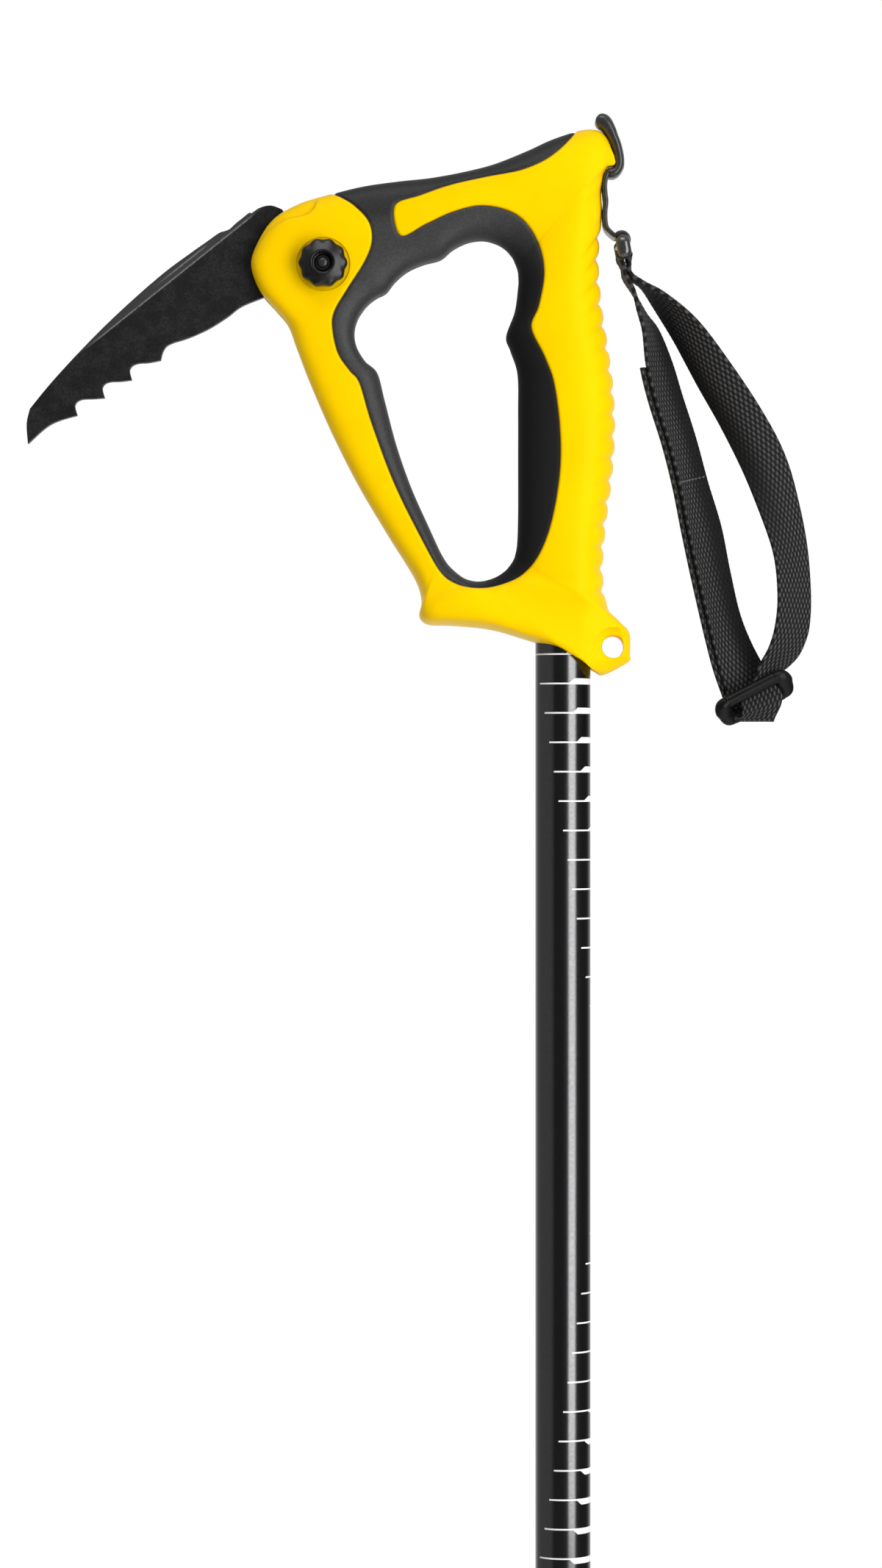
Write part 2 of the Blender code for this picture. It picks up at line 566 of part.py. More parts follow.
def make_pivot():
    """Bolt with its domed head at the back, friction washers, knob and threaded insert."""
    place = along_y(PIVOT_X, PIVOT_Z)
    shank = BOLT_DIAMETER / 2
    head = BOLT_HEAD_DIAMETER / 2
    seat = SEAT + FIT
    recess_floor = seat + KNOB_HEIGHT - 0.0026
    button = BOLT_BUTTON_DIAMETER / 2
    bolt = turned("pivot_bolt", [(0, -seat - BOLT_HEAD_HEIGHT),
                                 (0.5 * head, -seat - 0.94 * BOLT_HEAD_HEIGHT),
                                 (0.85 * head, -seat - 0.65 * BOLT_HEAD_HEIGHT),
                                 (head, -seat - 0.2 * BOLT_HEAD_HEIGHT), (head, -seat), (shank, -seat),
                                 (shank, recess_floor - FIT), (button, recess_floor - FIT),
                                 (button, recess_floor + 0.0008), (0.7 * button, recess_floor + 0.0014),
                                 (0, recess_floor + 0.0016)], 16)
    turn(bolt, place)
    pieces = [bolt]
    for name, side in (("pick_washer_front", 1), ("pick_washer_back", -1)):
        low = PICK_THICKNESS / 2 + FIT
        ends = sorted((side * low, side * (low + WASHER_THICKNESS)))
        washer = tube(name, WASHER_DIAMETER / 2, shank + FIT, *ends, 16)
        pieces.append(turn(washer, place))
    rim = KNOB_DIAMETER / 2 - KNOB_LOBE_DEPTH / 2
    pocket = INSERT_DIAMETER / 2 + FIT
    recess = KNOB_RECESS_DIAMETER / 2
    top = seat + KNOB_HEIGHT
    pocket_top = seat + INSERT_LENGTH + 2 * FIT
    wave = KNOB_LOBE_DEPTH / 2
    rows = [(pocket, seat, 0), (0.84 * rim, seat, 0), (0.86 * rim, seat + 0.0012, 0),
            (rim, seat + 0.0022, wave), (rim, top - 0.0022, wave), (0.93 * rim, top - 0.0006, wave),
            (0.80 * rim, top, 0),
            (0.62 * rim, top - 0.0006, 0), (recess, top - 0.0012, 0),
            (recess, recess_floor, 0), (shank + FIT, recess_floor, 0), (shank + FIT, pocket_top, 0),
            (pocket, pocket_top, 0)]
    knob = turned("clamp_knob", [r[:2] for r in rows], 3 * KNOB_LOBES, True, [r[2] for r in rows])
    foot = seat + FIT
    insert = tube("knob_insert", INSERT_DIAMETER / 2, shank + FIT, foot, foot + INSERT_LENGTH, 16)
    return pieces + [turn(knob, place), turn(insert, place)]


# Wrist strap

NOSE_ROWS = (13.0, 18.0)        # rows of the handle's table under the strap cap
LINK_TOP = Vector((back(0.0097), 0, 0.0557))
LINK_HANG = Vector((0.18, 0, -0.984)).normalized()
LINK_LOW = LINK_TOP + LINK_HANG * LINK_PITCH
SLIDER_CENTRE = Vector((0.0629, -0.0004, -0.0942))
SLIDER_TILT = math.radians(26)
SLIDER_LEAN = math.radians(10)


def handle_face(rows, y):
    """Outer surface of the handle's sections at a distance from the middle plane."""
    bulge = (1 - (abs(y) / rows[:, 4]) ** rows[:, 6]) ** (1 / rows[:, 6])
    return rows[:, 2:4] + (rows[:, 0:2] - rows[:, 2:4]) * (0.5 + 0.5 * bulge)[:, None]


def make_cap():
    """A shell over the rear of the nose that hooks under it, and its screw."""
    fine = 2
    rows = handle_rows(fine)[int(NOSE_ROWS[0] * fine):int(NOSE_ROWS[1] * fine) + 1]
    share = np.linspace(0, 1, len(rows))
    rings = []
    for y in CAP_HALF * np.sin(np.linspace(-1, 1, 7) * math.pi / 2):
        inside = handle_face(rows, y)
        ahead = np.gradient(inside, axis=0)
        ahead /= np.linalg.norm(ahead, axis=1, keepdims=True)
        outward = np.column_stack([-ahead[:, 1], ahead[:, 0]])
        swell = CAP_THICKNESS * (0.35 + 0.65 * math.sqrt(max(0, 1 - (y / CAP_HALF) ** 2)))
        ends = np.minimum(1, 0.55 + 6 * np.minimum(share, 1 - share))
        thick = swell * ends * (0.86 + 0.5 * (1 - share) ** 3)
        clear = FIT * (1.5 + 2.5 * share ** 2)
        low = inside + outward * clear[:, None]
        high = inside + outward * (clear + thick)[:, None]
        outline = np.vstack([low, high[::-1]])
        rings.append(np.column_stack([outline[:, 0], np.full(len(outline), y), outline[:, 1]]))
    cap = loft("strap_cap", np.array(rings), False)
    middle = len(rows) // 2
    foot = handle_face(rows, 0)
    ahead = foot[middle + 1] - foot[middle - 1]
    outward = Vector((-ahead[1], 0, ahead[0])).normalized()
    shank, head = CAP_SCREW_DIAMETER / 2, CAP_SCREW_HEAD / 2
    sink = FIT + 0.3 * CAP_THICKNESS
    aim = outward.to_track_quat("Z", "Y").to_matrix().to_4x4()
    aim.translation = Vector((foot[middle][0], 0, foot[middle][1]))
    point = sink - CAP_SCREW_LENGTH
    screw = turned("strap_cap_screw", [(0, point), (shank, point + shank), (shank, sink),
                                       (head, sink), (head, sink + 0.0012),
                                       (0.6 * head, sink + 0.0018), (0, sink + 0.0020)], 14)
    turn(screw, aim)
    hole = turned("hole", [(0, -1), (shank + FIT, -1), (shank + FIT, sink - FIT), (head + FIT, sink - FIT),
                           (head + FIT, 1), (0, 1)], 20)
    cut(cap, turn(hole, aim))
    room = rod("room", shank + FIT, point - FIT, CAP_SCREW_LENGTH, 20)
    return cap, screw, turn(room, aim)


def ribbon(points, thickness):
    """Outline of a strip of even thickness along a line of points."""
    points = np.asarray(points)
    ahead = np.gradient(points, axis=0)
    ahead /= np.linalg.norm(ahead, axis=1, keepdims=True)
    aside = np.column_stack([-ahead[:, 1], ahead[:, 0]]) * thickness / 2
    return [tuple(p) for p in np.vstack([points + aside, (points - aside)[::-1]])]


def make_tether():
    """A strip down the palm side from under the cap, ending in an eye round the link's upper bar."""
    lie = back(0.0031) + FIT + TETHER_THICKNESS / 2
    route = spline([(lie + 0.0001, 0.0729), (lie, 0.0690), (lie, 0.0640), (lie + 0.0004, 0.0604),
                    (lie + 0.0024, 0.0580), (LINK_TOP.x - 0.0018, LINK_TOP.z + 0.0010)], 3, False)
    half = TETHER_WIDTH / 2
    tether = prism("strap_tether", ribbon(route, TETHER_THICKNESS), -half, half)
    hole = LINK_RADIUS + FIT
    place = along_y(LINK_TOP.x, LINK_TOP.z)
    join(tether, turn(rod("eye", hole + TETHER_THICKNESS, -half, half, 16), place))
    return cut(tether, turn(rod("hole", hole, -1, 1, 16), place))


def make_link():
    """A bent wire ring whose two long bars lie across the strap."""
    side = LINK_INSIDE / 2 + LINK_RADIUS
    bend = LINK_RADIUS * 1.1
    corners = [(-1, -1), (1, -1), (1, 1), (-1, 1)]
    path = []
    for i, (u, v) in enumerate(corners):
        middle = np.array([u * (side - bend), v * (LINK_PITCH / 2 - bend)])
        for k in range(4):
            angle = math.radians(180 + 90 * i + 30 * k)
            path.append(middle + bend * np.array([math.cos(angle), math.sin(angle)]))
    path = np.array(path)
    ahead = np.roll(path, -1, axis=0) - np.roll(path, 1, axis=0)
    ahead /= np.linalg.norm(ahead, axis=1, keepdims=True)
    across = np.array((0, 1.0, 0))
    hang = np.array(LINK_HANG)
    level = np.cross(across, hang)
    centre = np.array((LINK_TOP + LINK_LOW) / 2)
    rings = np.empty((len(path), 8, 3))
    for i, (point, step) in enumerate(zip(path, ahead)):
        spot = centre + across * point[0] + hang * point[1]
        out = across * step[1] - hang * step[0]
        for k in range(8):
            angle = math.pi / 4 * k
            rings[i, k] = spot + LINK_RADIUS * (math.cos(angle) * out + math.sin(angle) * level)
    return loft("strap_link", rings, True)


def slider_point(along, up, ahead):
    """A point by its place on the slider: along its bars, up across them, and ahead of its face."""
    bars = Vector((math.cos(SLIDER_TILT), 0, math.sin(SLIDER_TILT)))
    flat = Vector((-math.sin(SLIDER_TILT), 0, math.cos(SLIDER_TILT)))
    facing = Vector((0, -1, 0))
    over = flat * math.cos(SLIDER_LEAN) + facing * math.sin(SLIDER_LEAN)
    out = facing * math.cos(SLIDER_LEAN) - flat * math.sin(SLIDER_LEAN)
    return SLIDER_CENTRE + bars * along + over * up + out * ahead


def make_slider():
    """A flat ring of two bars with rounded ends that the strap threads through."""
    def rounded(length, height, radius):
        points = []
        for i, (u, v) in enumerate([(1, 1), (-1, 1), (-1, -1), (1, -1)]):
            for k in range(5):
                angle = math.radians(90 * i + 22.5 * k)
                points.append((u * (length / 2 - radius) + radius * math.cos(angle),
                               v * (height / 2 - radius) + radius * math.sin(angle)))
        return points

    def plate(name, outline, half):
        rings = np.array([[slider_point(u, v, w) for u, v in outline] for w in (-half, half)])
        return loft(name, rings, False)

    height = SLIDER_PITCH + SLIDER_BAR
    slider = plate("strap_slider", rounded(SLIDER_LENGTH, height, 0.42 * height), SLIDER_THICKNESS / 2)
    slot = rounded(SLIDER_LENGTH - 2 * SLIDER_BAR, SLIDER_PITCH - SLIDER_BAR, 0.0012)
    return cut(slider, plate("slot", slot, SLIDER_THICKNESS))


def strap_route():
    """Middle line and width direction of the webbing: down, round the slider's low bar, and up again."""
    aside = Vector((-LINK_HANG.z, 0, LINK_HANG.x)) * (WEB_THICKNESS / 2 + FIT)
    flat = (0, 1, 0)
    bars = (math.cos(SLIDER_TILT), 0, math.sin(SLIDER_TILT))
    clear = SLIDER_THICKNESS / 2 + WEB_THICKNESS / 2 + 3 * FIT
    behind = clear + 2 * WEB_THICKNESS
    bar = SLIDER_PITCH / 2
    thread = bar - SLIDER_BAR / 4
    low = -bar - SLIDER_BAR / 2
    rows = [(LINK_LOW - aside, flat), (LINK_LOW - aside + LINK_HANG * 0.0058, flat),
            ((0.0230, 0.0000, 0.0392), (0.04, 1, 0)), ((0.0258, 0.0004, 0.0325), (0.2, 0.98, 0)),
            ((0.0288, 0.0008, 0.0262), (0.36, 0.93, 0.1)), ((0.0316, 0.0014, 0.0156), (0.65, 0.75, 0.15)),
            ((0.0344, 0.0020, 0.0048), (0.86, 0.45, 0.25)), ((0.0384, 0.0026, -0.0096), (0.82, 0.53, 0.22)),
            ((0.0421, 0.0032, -0.0240), (0.77, 0.60, 0.2)), ((0.0455, 0.0038, -0.0384), (0.83, 0.5, 0.22)),
            ((0.0483, 0.0044, -0.0528), (0.9, 0.36, 0.2)), ((0.0513, 0.0050, -0.0672), (0.96, 0.2, 0.22)),
            ((0.0550, 0.0054, -0.0796), (0.93, 0.05, 0.36)),
            (slider_point(-0.0004, bar + 0.0036, -behind), bars), (slider_point(0, 0, -behind), bars),
            (slider_point(0, low + 0.0010, -behind), bars),
            (slider_point(0, low - 0.0018, -0.62 * behind), bars), (slider_point(0, low - 0.0024, 0), bars),
            (slider_point(0, low - 0.0008, 0.80 * clear), bars),
            (slider_point(0.0002, -thread, clear), bars), (slider_point(0.0010, 0, 0), bars),
            (slider_point(0.0018, thread, -clear), bars),
            ((0.0655, 0.0012, -0.0852), (0.95, 0, 0.3)), ((0.0684, 0.0010, -0.0811), (0.98, -0.1, 0.05)),
            ((0.0716, 0.0008, -0.0764), (0.94, -0.3, 0)), ((0.0740, 0.0002, -0.0700), (0.86, -0.5, 0)),
            ((0.0754, -0.0006, -0.0600), (0.8, -0.6, 0)), ((0.0743, -0.0014, -0.0456), (0.75, -0.64, 0.2)),
            ((0.0703, -0.0016, -0.0312), (0.72, -0.62, 0.3)),
            ((0.0636, -0.0015, -0.0168), (0.84, -0.4, 0.42)),
            ((0.0561, -0.0012, -0.0024), (0.88, 0.1, 0.46)), ((0.0487, -0.0008, 0.0120), (0.72, 0.5, 0.45)),
            ((0.0397, -0.0004, 0.0264), (0.5, 0.78, 0.38)), ((0.0316, 0.0000, 0.0362), (0.2, 0.95, 0.2)),
            ((0.0262, 0.0000, 0.0412), (0.03, 1, 0)),
            (LINK_LOW + aside + LINK_HANG * 0.0058, flat), (LINK_LOW + aside, flat)]
    return np.array([[*place, *width] for place, width in rows])


def make_strap():
    """One unbroken length of webbing, with a sewn eye round the link's lower bar."""
    route = strap_route()
    twist = np.linalg.norm(np.diff(route[:, 3:], axis=0), axis=1)
    span = np.linalg.norm(np.diff(route[:, :3], axis=0), axis=1)
    steps = [3 if t > 0.3 else 1 if s > LONG_SPAN else 2 for t, s in zip(twist, span)]
    line = spline(route, steps, False)
    spot, wide = line[:, :3], line[:, 3:]
    ahead = np.gradient(spot, axis=0)
    wide /= np.linalg.norm(wide, axis=1, keepdims=True)
    face = np.cross(ahead, wide)
    face *= WEB_THICKNESS / 2 / np.linalg.norm(face, axis=1, keepdims=True)
    edge = wide * WEB_WIDTH / 2
    corners = [spot + edge + face, spot - edge + face, spot - edge - face, spot + edge - face]
    rings = np.stack(corners, axis=1)
    strap = loft("wrist_strap", rings, False)
    half = WEB_WIDTH / 2
    hole = LINK_RADIUS + FIT
    place = along_y(LINK_LOW.x, LINK_LOW.z)
    join(strap, turn(rod("eye", hole + WEB_THICKNESS, -half, half, 16), place))
    return cut(strap, turn(rod("hole", hole, -1, 1, 16), place))


# Pole

def tube(name, outside, inside, low, high, sides=SIDES):
    """A plain tube along Z."""
    return turned(name, [(inside, low), (outside, low), (outside, high), (inside, high)], sides, True)


def make_tubes():
    """Three tubes that slide in each other, the plug in the top one and the guides of the others."""
    pieces = []
    stack = [("upper_tube", UPPER_TUBE_DIAMETER, UPPER_TUBE_TOP, UPPER_TUBE_END, "shaft_top_plug", 0.0),
             ("middle_tube", MIDDLE_TUBE_DIAMETER, MIDDLE_TUBE_TOP, MIDDLE_TUBE_END,
              "middle_tube_stop", PLUG_FLANGE),
             ("lower_tube", LOWER_TUBE_DIAMETER, LOWER_TUBE_TOP, LOWER_TUBE_END,
              "lower_tube_stop", PLUG_FLANGE)]
    for name, diameter, top, end, plug, flange in stack:
        outside = diameter / 2
        inside = outside - TUBE_WALL
        pieces.append(tube(name, outside, inside, end, top))
        body = inside - FIT
        low = top - PLUG_LENGTH
        profile = [(0, low), (body - 0.0006, low), (body, low + 0.0006), (body, top)]
        if flange:
            profile[-1] = (body, top + FIT)
            profile += [(outside, top + FIT), (outside, top + FIT + flange)]
            top = top + FIT + flange
        profile.append((0, top))
        pieces.append(turned(plug, profile))
    return pieces


def make_clamp(prefix, joint, big, small):
    """A split collar at a tube's end, with its screw, barrel pin and cam lever."""
    low, high = joint - COLLAR_HALF_HEIGHT, joint + COLLAR_HALF_HEIGHT
    outside = big / 2 + COLLAR_WALL
    chamfer = COLLAR_WALL / 3
    step = joint - FIT
    wide, tight = big / 2 + FIT, small / 2 + FIT
    profile = [(tight, low), (outside - 2 * chamfer, low), (outside, low + 2 * chamfer),
               (outside, high - chamfer), (outside - chamfer, high), (wide, high),
               (wide, step), (tight, step)]
    collar = turned(prefix + "_collar", profile, SIDES, True)
    ear = SLIT_WIDTH / 2 + EAR_THICKNESS
    centre = low + 0.002 + EAR_HEIGHT / 2
    reach = outside + EAR_REACH
    ears = block("ears", (outside - COLLAR_WALL / 2, -ear, centre - EAR_HEIGHT / 2),
                 (reach, ear, centre + EAR_HEIGHT / 2))
    bore = rod("bore", wide, step, 1)
    join(collar, cut(ears, bore))
    slit_top = centre + EAR_HEIGHT / 2 + 2 * SLIT_WIDTH
    cut(collar, block("slit", (0, -SLIT_WIDTH / 2, low - FIT), (2 * reach, SLIT_WIDTH / 2, slit_top)))
    hub = LEVER_HUB_DIAMETER / 2
    axis_x = reach - CLAMP_SCREW_DIAMETER / 2 - 0.0016
    axis_y = ear + FIT + hub
    shank = CLAMP_SCREW_DIAMETER / 2
    across = Matrix.Translation((axis_x, 0, centre)) @ Matrix.Rotation(-math.pi / 2, 4, "X")
    cut(collar, turn(rod("hole", shank + FIT, -0.02, 0.02, 14), across))
    head = 2 * shank
    screw = turned(prefix + "_screw", [(0, -ear - FIT - 0.0022), (0.8 * head, -ear - FIT - 0.0022),
                                       (head, -ear - FIT - 0.0016), (head, -ear - FIT), (shank, -ear - FIT),
                                       (shank, axis_y + shank), (0, axis_y + shank)], 14)
    turn(screw, across)
    pin_radius = CLAMP_PIN_DIAMETER / 2
    spot = Matrix.Translation((axis_x, axis_y, centre))
    pin = turn(rod(prefix + "_pin", pin_radius, -LEVER_HEIGHT / 2, LEVER_HEIGHT / 2, 16), spot)
    cut(pin, turn(rod("hole", shank + FIT, -0.02, axis_y + shank + FIT, 14), across))
    lever = turn(rod(prefix + "_lever", hub, -LEVER_HEIGHT / 2, LEVER_HEIGHT / 2, 16), spot)
    inner = outside + FIT
    start = math.degrees(math.atan2(axis_y, axis_x)) + 4
    share = np.append(np.linspace(0, LIP_START, 9), 1)
    angles = np.radians(start + (LEVER_SWEEP - start) * share)
    lip = inner + LEVER_THICKNESS * (1 - 0.2 * share) + np.where(share > LIP_START, LIP_RISE, 0)
    arm = [(inner * math.cos(a), inner * math.sin(a)) for a in angles]
    arm += [(r * math.cos(a), r * math.sin(a)) for a, r in zip(angles[::-1], lip[::-1])]
    join(lever, prism("arm", arm, centre - LEVER_HEIGHT / 2, centre + LEVER_HEIGHT / 2, "XY"))
    fork = block("fork", (axis_x - shank - 2 * FIT, axis_y - 2 * hub, centre - LEVER_FORK / 2),
                 (axis_x + 2 * hub, axis_y + 2 * hub, centre + LEVER_FORK / 2))
    cut(lever, turn(rod("hole", pin_radius + FIT, -0.02, 0.02, 16), spot), fork)
    swing = Matrix.Rotation(math.radians(CLAMP_TURN), 4, "Z")
    pieces = [turn(piece, swing) for piece in (collar, lever, pin, screw)]
    return pieces, swing @ Vector((axis_x, axis_y, centre))


def make_foot():
    """Ferrule over the lower tube's end, the steel spike in it, and the snow basket."""
    socket = LOWER_TUBE_DIAMETER / 2 + FIT
    wide, narrow = FERRULE_DIAMETER / 2, FERRULE_TIP_DIAMETER / 2
    hub_inside = wide - 0.0012
    shoulder = FERRULE_TOP - BASKET_DROP
    hole = SPIKE_DIAMETER / 2 + FIT
    socket_floor = LOWER_TUBE_END - FIT
    spike_top = FERRULE_END + SPIKE_SOCKET
    ferrule = turned("tip_ferrule", [(0, socket_floor), (socket, socket_floor), (socket, FERRULE_TOP),
                                     (wide - 0.0006, FERRULE_TOP), (wide, FERRULE_TOP - 0.0006),
                                     (wide, shoulder), (hub_inside, shoulder),
                                     (hub_inside, shoulder - BASKET_HUB_HEIGHT),
                                     (narrow + 0.0008, FERRULE_END + 0.004), (narrow, FERRULE_END),
                                     (hole, FERRULE_END), (hole, spike_top), (0, spike_top)])
    shank = SPIKE_DIAMETER / 2
    end = FERRULE_END - SPIKE_SHOWN
    spike = turned("spike_tip", [(0, spike_top - FIT), (shank, spike_top - FIT),
                                 (shank, FERRULE_END - FIT), (narrow - 0.0006, FERRULE_END - FIT),
                                 (narrow - 0.0010, FERRULE_END - 0.003), (0.8 * shank, end + 0.003),
                                 (0.7 * shank, end), (0.3 * shank, end + 0.0012), (0, end + 0.0014)], 14)
    inside = hub_inside + FIT
    hub = inside + BASKET_HUB_WALL
    top = shoulder - FIT
    low = top - BASKET_HUB_HEIGHT + FIT
    edge = BASKET_DIAMETER / 2
    root = low + 0.0012
    rim = low - BASKET_DISH
    basket = turned("basket", [(inside, low), (hub, low), (hub + 0.003, root), (edge, rim),
                               (edge + 0.0008, rim + BASKET_SHEET / 2), (edge, rim + BASKET_SHEET),
                               (hub + 0.004, root + BASKET_SHEET), (hub, root + 2 * BASKET_SHEET),
                               (hub, top), (inside, top)], SIDES, True)
    middle = (hub + edge) / 2 + 0.001
    length = (edge - hub) * 0.26
    for k in range(BASKET_SLOTS):
        slot = [(middle + length * math.cos(a), 1.15 * length * math.sin(a))
                for a in np.arange(8) * math.pi / 4]
        cutter = prism("slot", slot, low - edge, low + edge, "XY")
        cut(basket, turn(cutter, Matrix.Rotation(2 * math.pi * k / BASKET_SLOTS, 4, "Z")))
    return ferrule, spike, basket


# Assembly

YELLOW = ((0.95, 0.62, 0.0), 0.34)
RUBBER = ((0.045, 0.045, 0.048), 0.75)
BLACK_STEEL = ((0.020, 0.020, 0.022), 0.45, 1.0)
STEEL = ((0.55, 0.55, 0.56), 0.32, 1.0)
BRASS = ((0.70, 0.50, 0.22), 0.35, 1.0)
BLACK_PLASTIC = ((0.018, 0.018, 0.020), 0.42)
WEBBING = ((0.022, 0.022, 0.024), 0.85)
BLACK_TUBE = ((0.012, 0.012, 0.013), 0.30, 0.3)
GREY_TUBE = ((0.50, 0.51, 0.52), 0.35, 1.0)


def clear_scene():
    """Removes what the file opened with."""
    for thing in list(bpy.data.objects):
        bpy.data.objects.remove(thing)


def empty(name, place, parent=None):
    """A joint's frame, with its origin on the joint's axis."""
    marker = bpy.data.objects.new(name, None)
    bpy.context.scene.collection.objects.link(marker)
    marker.location = Vector(place) - (parent["world"] if parent else Vector())
    if parent:
        marker.parent = parent["object"]
    return {"object": marker, "world": Vector(place)}


def seat(frame, look, *things):
    """Hangs pieces on a joint's frame and gives each its own material."""
    for thing in things:
        thing.data.transform(Matrix.Translation(-frame["world"]))
        thing.parent = frame["object"]
        thing.data.materials.clear()
        thing.data.materials.append(finish(thing.name + "_finish", *look))
        thing.data.shade_smooth()
        thing.data.set_sharp_from_angle(angle=math.radians(32))


def main():
    """Builds the pieces, cuts what they pass through, and hangs them on their joints."""
    clear_scene()
    body, skin = make_handle()
    cap, cap_screw, screw_room = make_cap()
    cut(body, screw_room)
    bolt, washer_front, washer_back, knob, insert = make_pivot()
    upper_tube, top_plug, middle_tube, middle_stop, lower_tube, lower_stop = make_tubes()
    upper_clamp, upper_pin = make_clamp("upper_lock", UPPER_TUBE_END,
                                        UPPER_TUBE_DIAMETER, MIDDLE_TUBE_DIAMETER)
    lower_clamp, lower_pin = make_clamp("lower_lock", MIDDLE_TUBE_END,
                                        MIDDLE_TUBE_DIAMETER, LOWER_TUBE_DIAMETER)
    ferrule, spike, basket = make_foot()

    root = empty("handle_frame", (0, 0, 0))
    seat(root, YELLOW, body)
    seat(root, RUBBER, skin)
    seat(root, BLACK_PLASTIC, cap, make_tether(), top_plug, upper_clamp[0])
    seat(root, STEEL, bolt, washer_front, washer_back, cap_screw, upper_clamp[2], upper_clamp[3])
    seat(root, BLACK_TUBE, upper_tube)
    seat(empty("pick_axis", PIVOT, root), BLACK_STEEL, make_pick())
    knob_axis = empty("knob_axis", PIVOT, root)
    seat(knob_axis, BLACK_PLASTIC, knob)
    seat(knob_axis, BRASS, insert)
    strap_axis = empty("strap_axis", LINK_TOP, root)
    seat(strap_axis, BLACK_STEEL, make_link())
    seat(strap_axis, WEBBING, make_strap())
    seat(strap_axis, BLACK_PLASTIC, make_slider())
    seat(empty("upper_lever_axis", upper_pin, root), BLACK_PLASTIC, upper_clamp[1])
    middle = empty("middle_axis", (0, 0, UPPER_TUBE_END), root)
    seat(middle, GREY_TUBE, middle_tube)
    seat(middle, BLACK_PLASTIC, middle_stop, lower_clamp[0])
    seat(middle, STEEL, lower_clamp[2], lower_clamp[3])
    seat(empty("lower_lever_axis", lower_pin, middle), BLACK_PLASTIC, lower_clamp[1])
    lower = empty("lower_axis", (0, 0, MIDDLE_TUBE_END), middle)
    seat(lower, GREY_TUBE, lower_tube)
    seat(lower, BLACK_PLASTIC, lower_stop, ferrule, basket)
    seat(lower, STEEL, spike)
    print("pins", [round(v, 5) for v in upper_pin], [round(v, 5) for v in lower_pin])


main()
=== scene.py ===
"""The look of a self-arrest pole: moulded handle, folding pick, wrist strap and telescopic pole.

Every piece is a surface in numpy, in metres in the frame's own axes, and rides a body of the frame.
Tables of points are in millimetres.
"""

import math

import bmesh
import bpy
import numpy as np
from mathutils import Matrix, Vector


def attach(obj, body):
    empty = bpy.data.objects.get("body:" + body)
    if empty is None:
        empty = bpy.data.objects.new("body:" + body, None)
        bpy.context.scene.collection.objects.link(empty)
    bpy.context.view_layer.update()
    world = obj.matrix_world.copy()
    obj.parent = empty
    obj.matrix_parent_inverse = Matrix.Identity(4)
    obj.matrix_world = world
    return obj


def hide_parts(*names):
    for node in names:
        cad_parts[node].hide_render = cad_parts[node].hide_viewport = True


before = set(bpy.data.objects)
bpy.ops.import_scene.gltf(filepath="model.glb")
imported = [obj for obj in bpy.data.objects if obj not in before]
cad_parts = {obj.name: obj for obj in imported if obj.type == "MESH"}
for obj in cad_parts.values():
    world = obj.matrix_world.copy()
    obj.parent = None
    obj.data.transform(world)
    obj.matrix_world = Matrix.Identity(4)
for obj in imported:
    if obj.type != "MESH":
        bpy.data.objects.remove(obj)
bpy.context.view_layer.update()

MM = 0.001
MICRON = 0.000001

# Sizes that follow the frame
FIT = 0.0003
BORE = 0.0093
PIVOT = (-0.078, 0.047)
BOSS_RADIUS = 0.0225
SEAT = 0.0104
SLOT_HALF = 0.0032
PICK_HALF = 0.002
PICK_REACH = 0.1124
PICK_DROOP = 210.8
FOLD_ANGLE = 77.5
HUB_RADIUS = 0.0094
SHOULDER = PICK_DROOP - 84.8
EYE = (BORE + 0.0069, -0.077)
TUBE_TOP = 0.04
TUBE_ENDS = (-0.4, -0.466, -0.538)
LINK_TOP = np.array([BORE + 0.0097, 0, 0.0557])
LINK_HANG = np.array([0.18, 0, -0.984]) / math.hypot(0.18, 0.984)
LINK_PITCH = 0.0056
LINK_LOW = LINK_TOP + LINK_HANG * LINK_PITCH
WEB_WIDTH = 0.015
WEB_THICKNESS = 0.0012


# Surfaces

def mm(rows):
    """A table in millimetres as an array in metres."""
    return np.array(rows, float) * MM


def unit(rows):
    """Rows divided by their lengths."""
    return rows / np.linalg.norm(rows, axis=-1, keepdims=True)


def directions(number, shift=0.0):
    """Even directions round one turn."""
    return (np.arange(number) + shift) * 2 * math.pi / number


def polar(centre, radius, degrees):
    """Points in X and Z round a centre, by their directions."""
    angle = np.radians(degrees)
    return np.stack([centre[0] + radius * np.cos(angle), centre[1] + radius * np.sin(angle)], axis=-1)


def in_plane(rows):
    """Points of X and Z in the plane where Y is 0."""
    return np.insert(rows, 1, 0, axis=1)


def catmull(rows, t, closed=False):
    """Catmull-Rom curve through rows, at places t counted in rows."""
    rows = np.asarray(rows, float)
    count = len(rows)
    first = np.floor(t).astype(int)
    if not closed:
        first = np.clip(first, 0, count - 2)
    part = (np.asarray(t) - first)[:, None]
    picks = [first + k for k in (-1, 0, 1, 2)]
    a, b, c, d = [rows[p % count] if closed else rows[np.clip(p, 0, count - 1)] for p in picks]
    return b + part / 2 * (c - a + part * (2 * a - 5 * b + 4 * c - d + part * (3 * (b - c) + d - a)))


def loop_through(rows, steps=10):
    """A closed curve through rows, with a number of steps from each to the next."""
    return catmull(rows, np.arange(len(rows) * steps) / steps, True)


def travel_along(line):
    """The length of a line up to each of its points."""
    return np.concatenate([[0], np.cumsum(np.linalg.norm(np.diff(line, axis=0), axis=1))])


def even(rows, number, closed=False, fine=24):
    """The curve through rows at even steps of the length of its first three columns, and that length."""
    spans = len(rows) if closed else len(rows) - 1
    t = np.linspace(0, spans, spans * fine + 1)
    travel = travel_along(catmull(rows, t, closed)[:, :3])
    share = np.arange(number) / (number if closed else number - 1)
    places = np.interp(share * travel[-1], travel, t)
    return catmull(rows, places, closed), travel[-1]


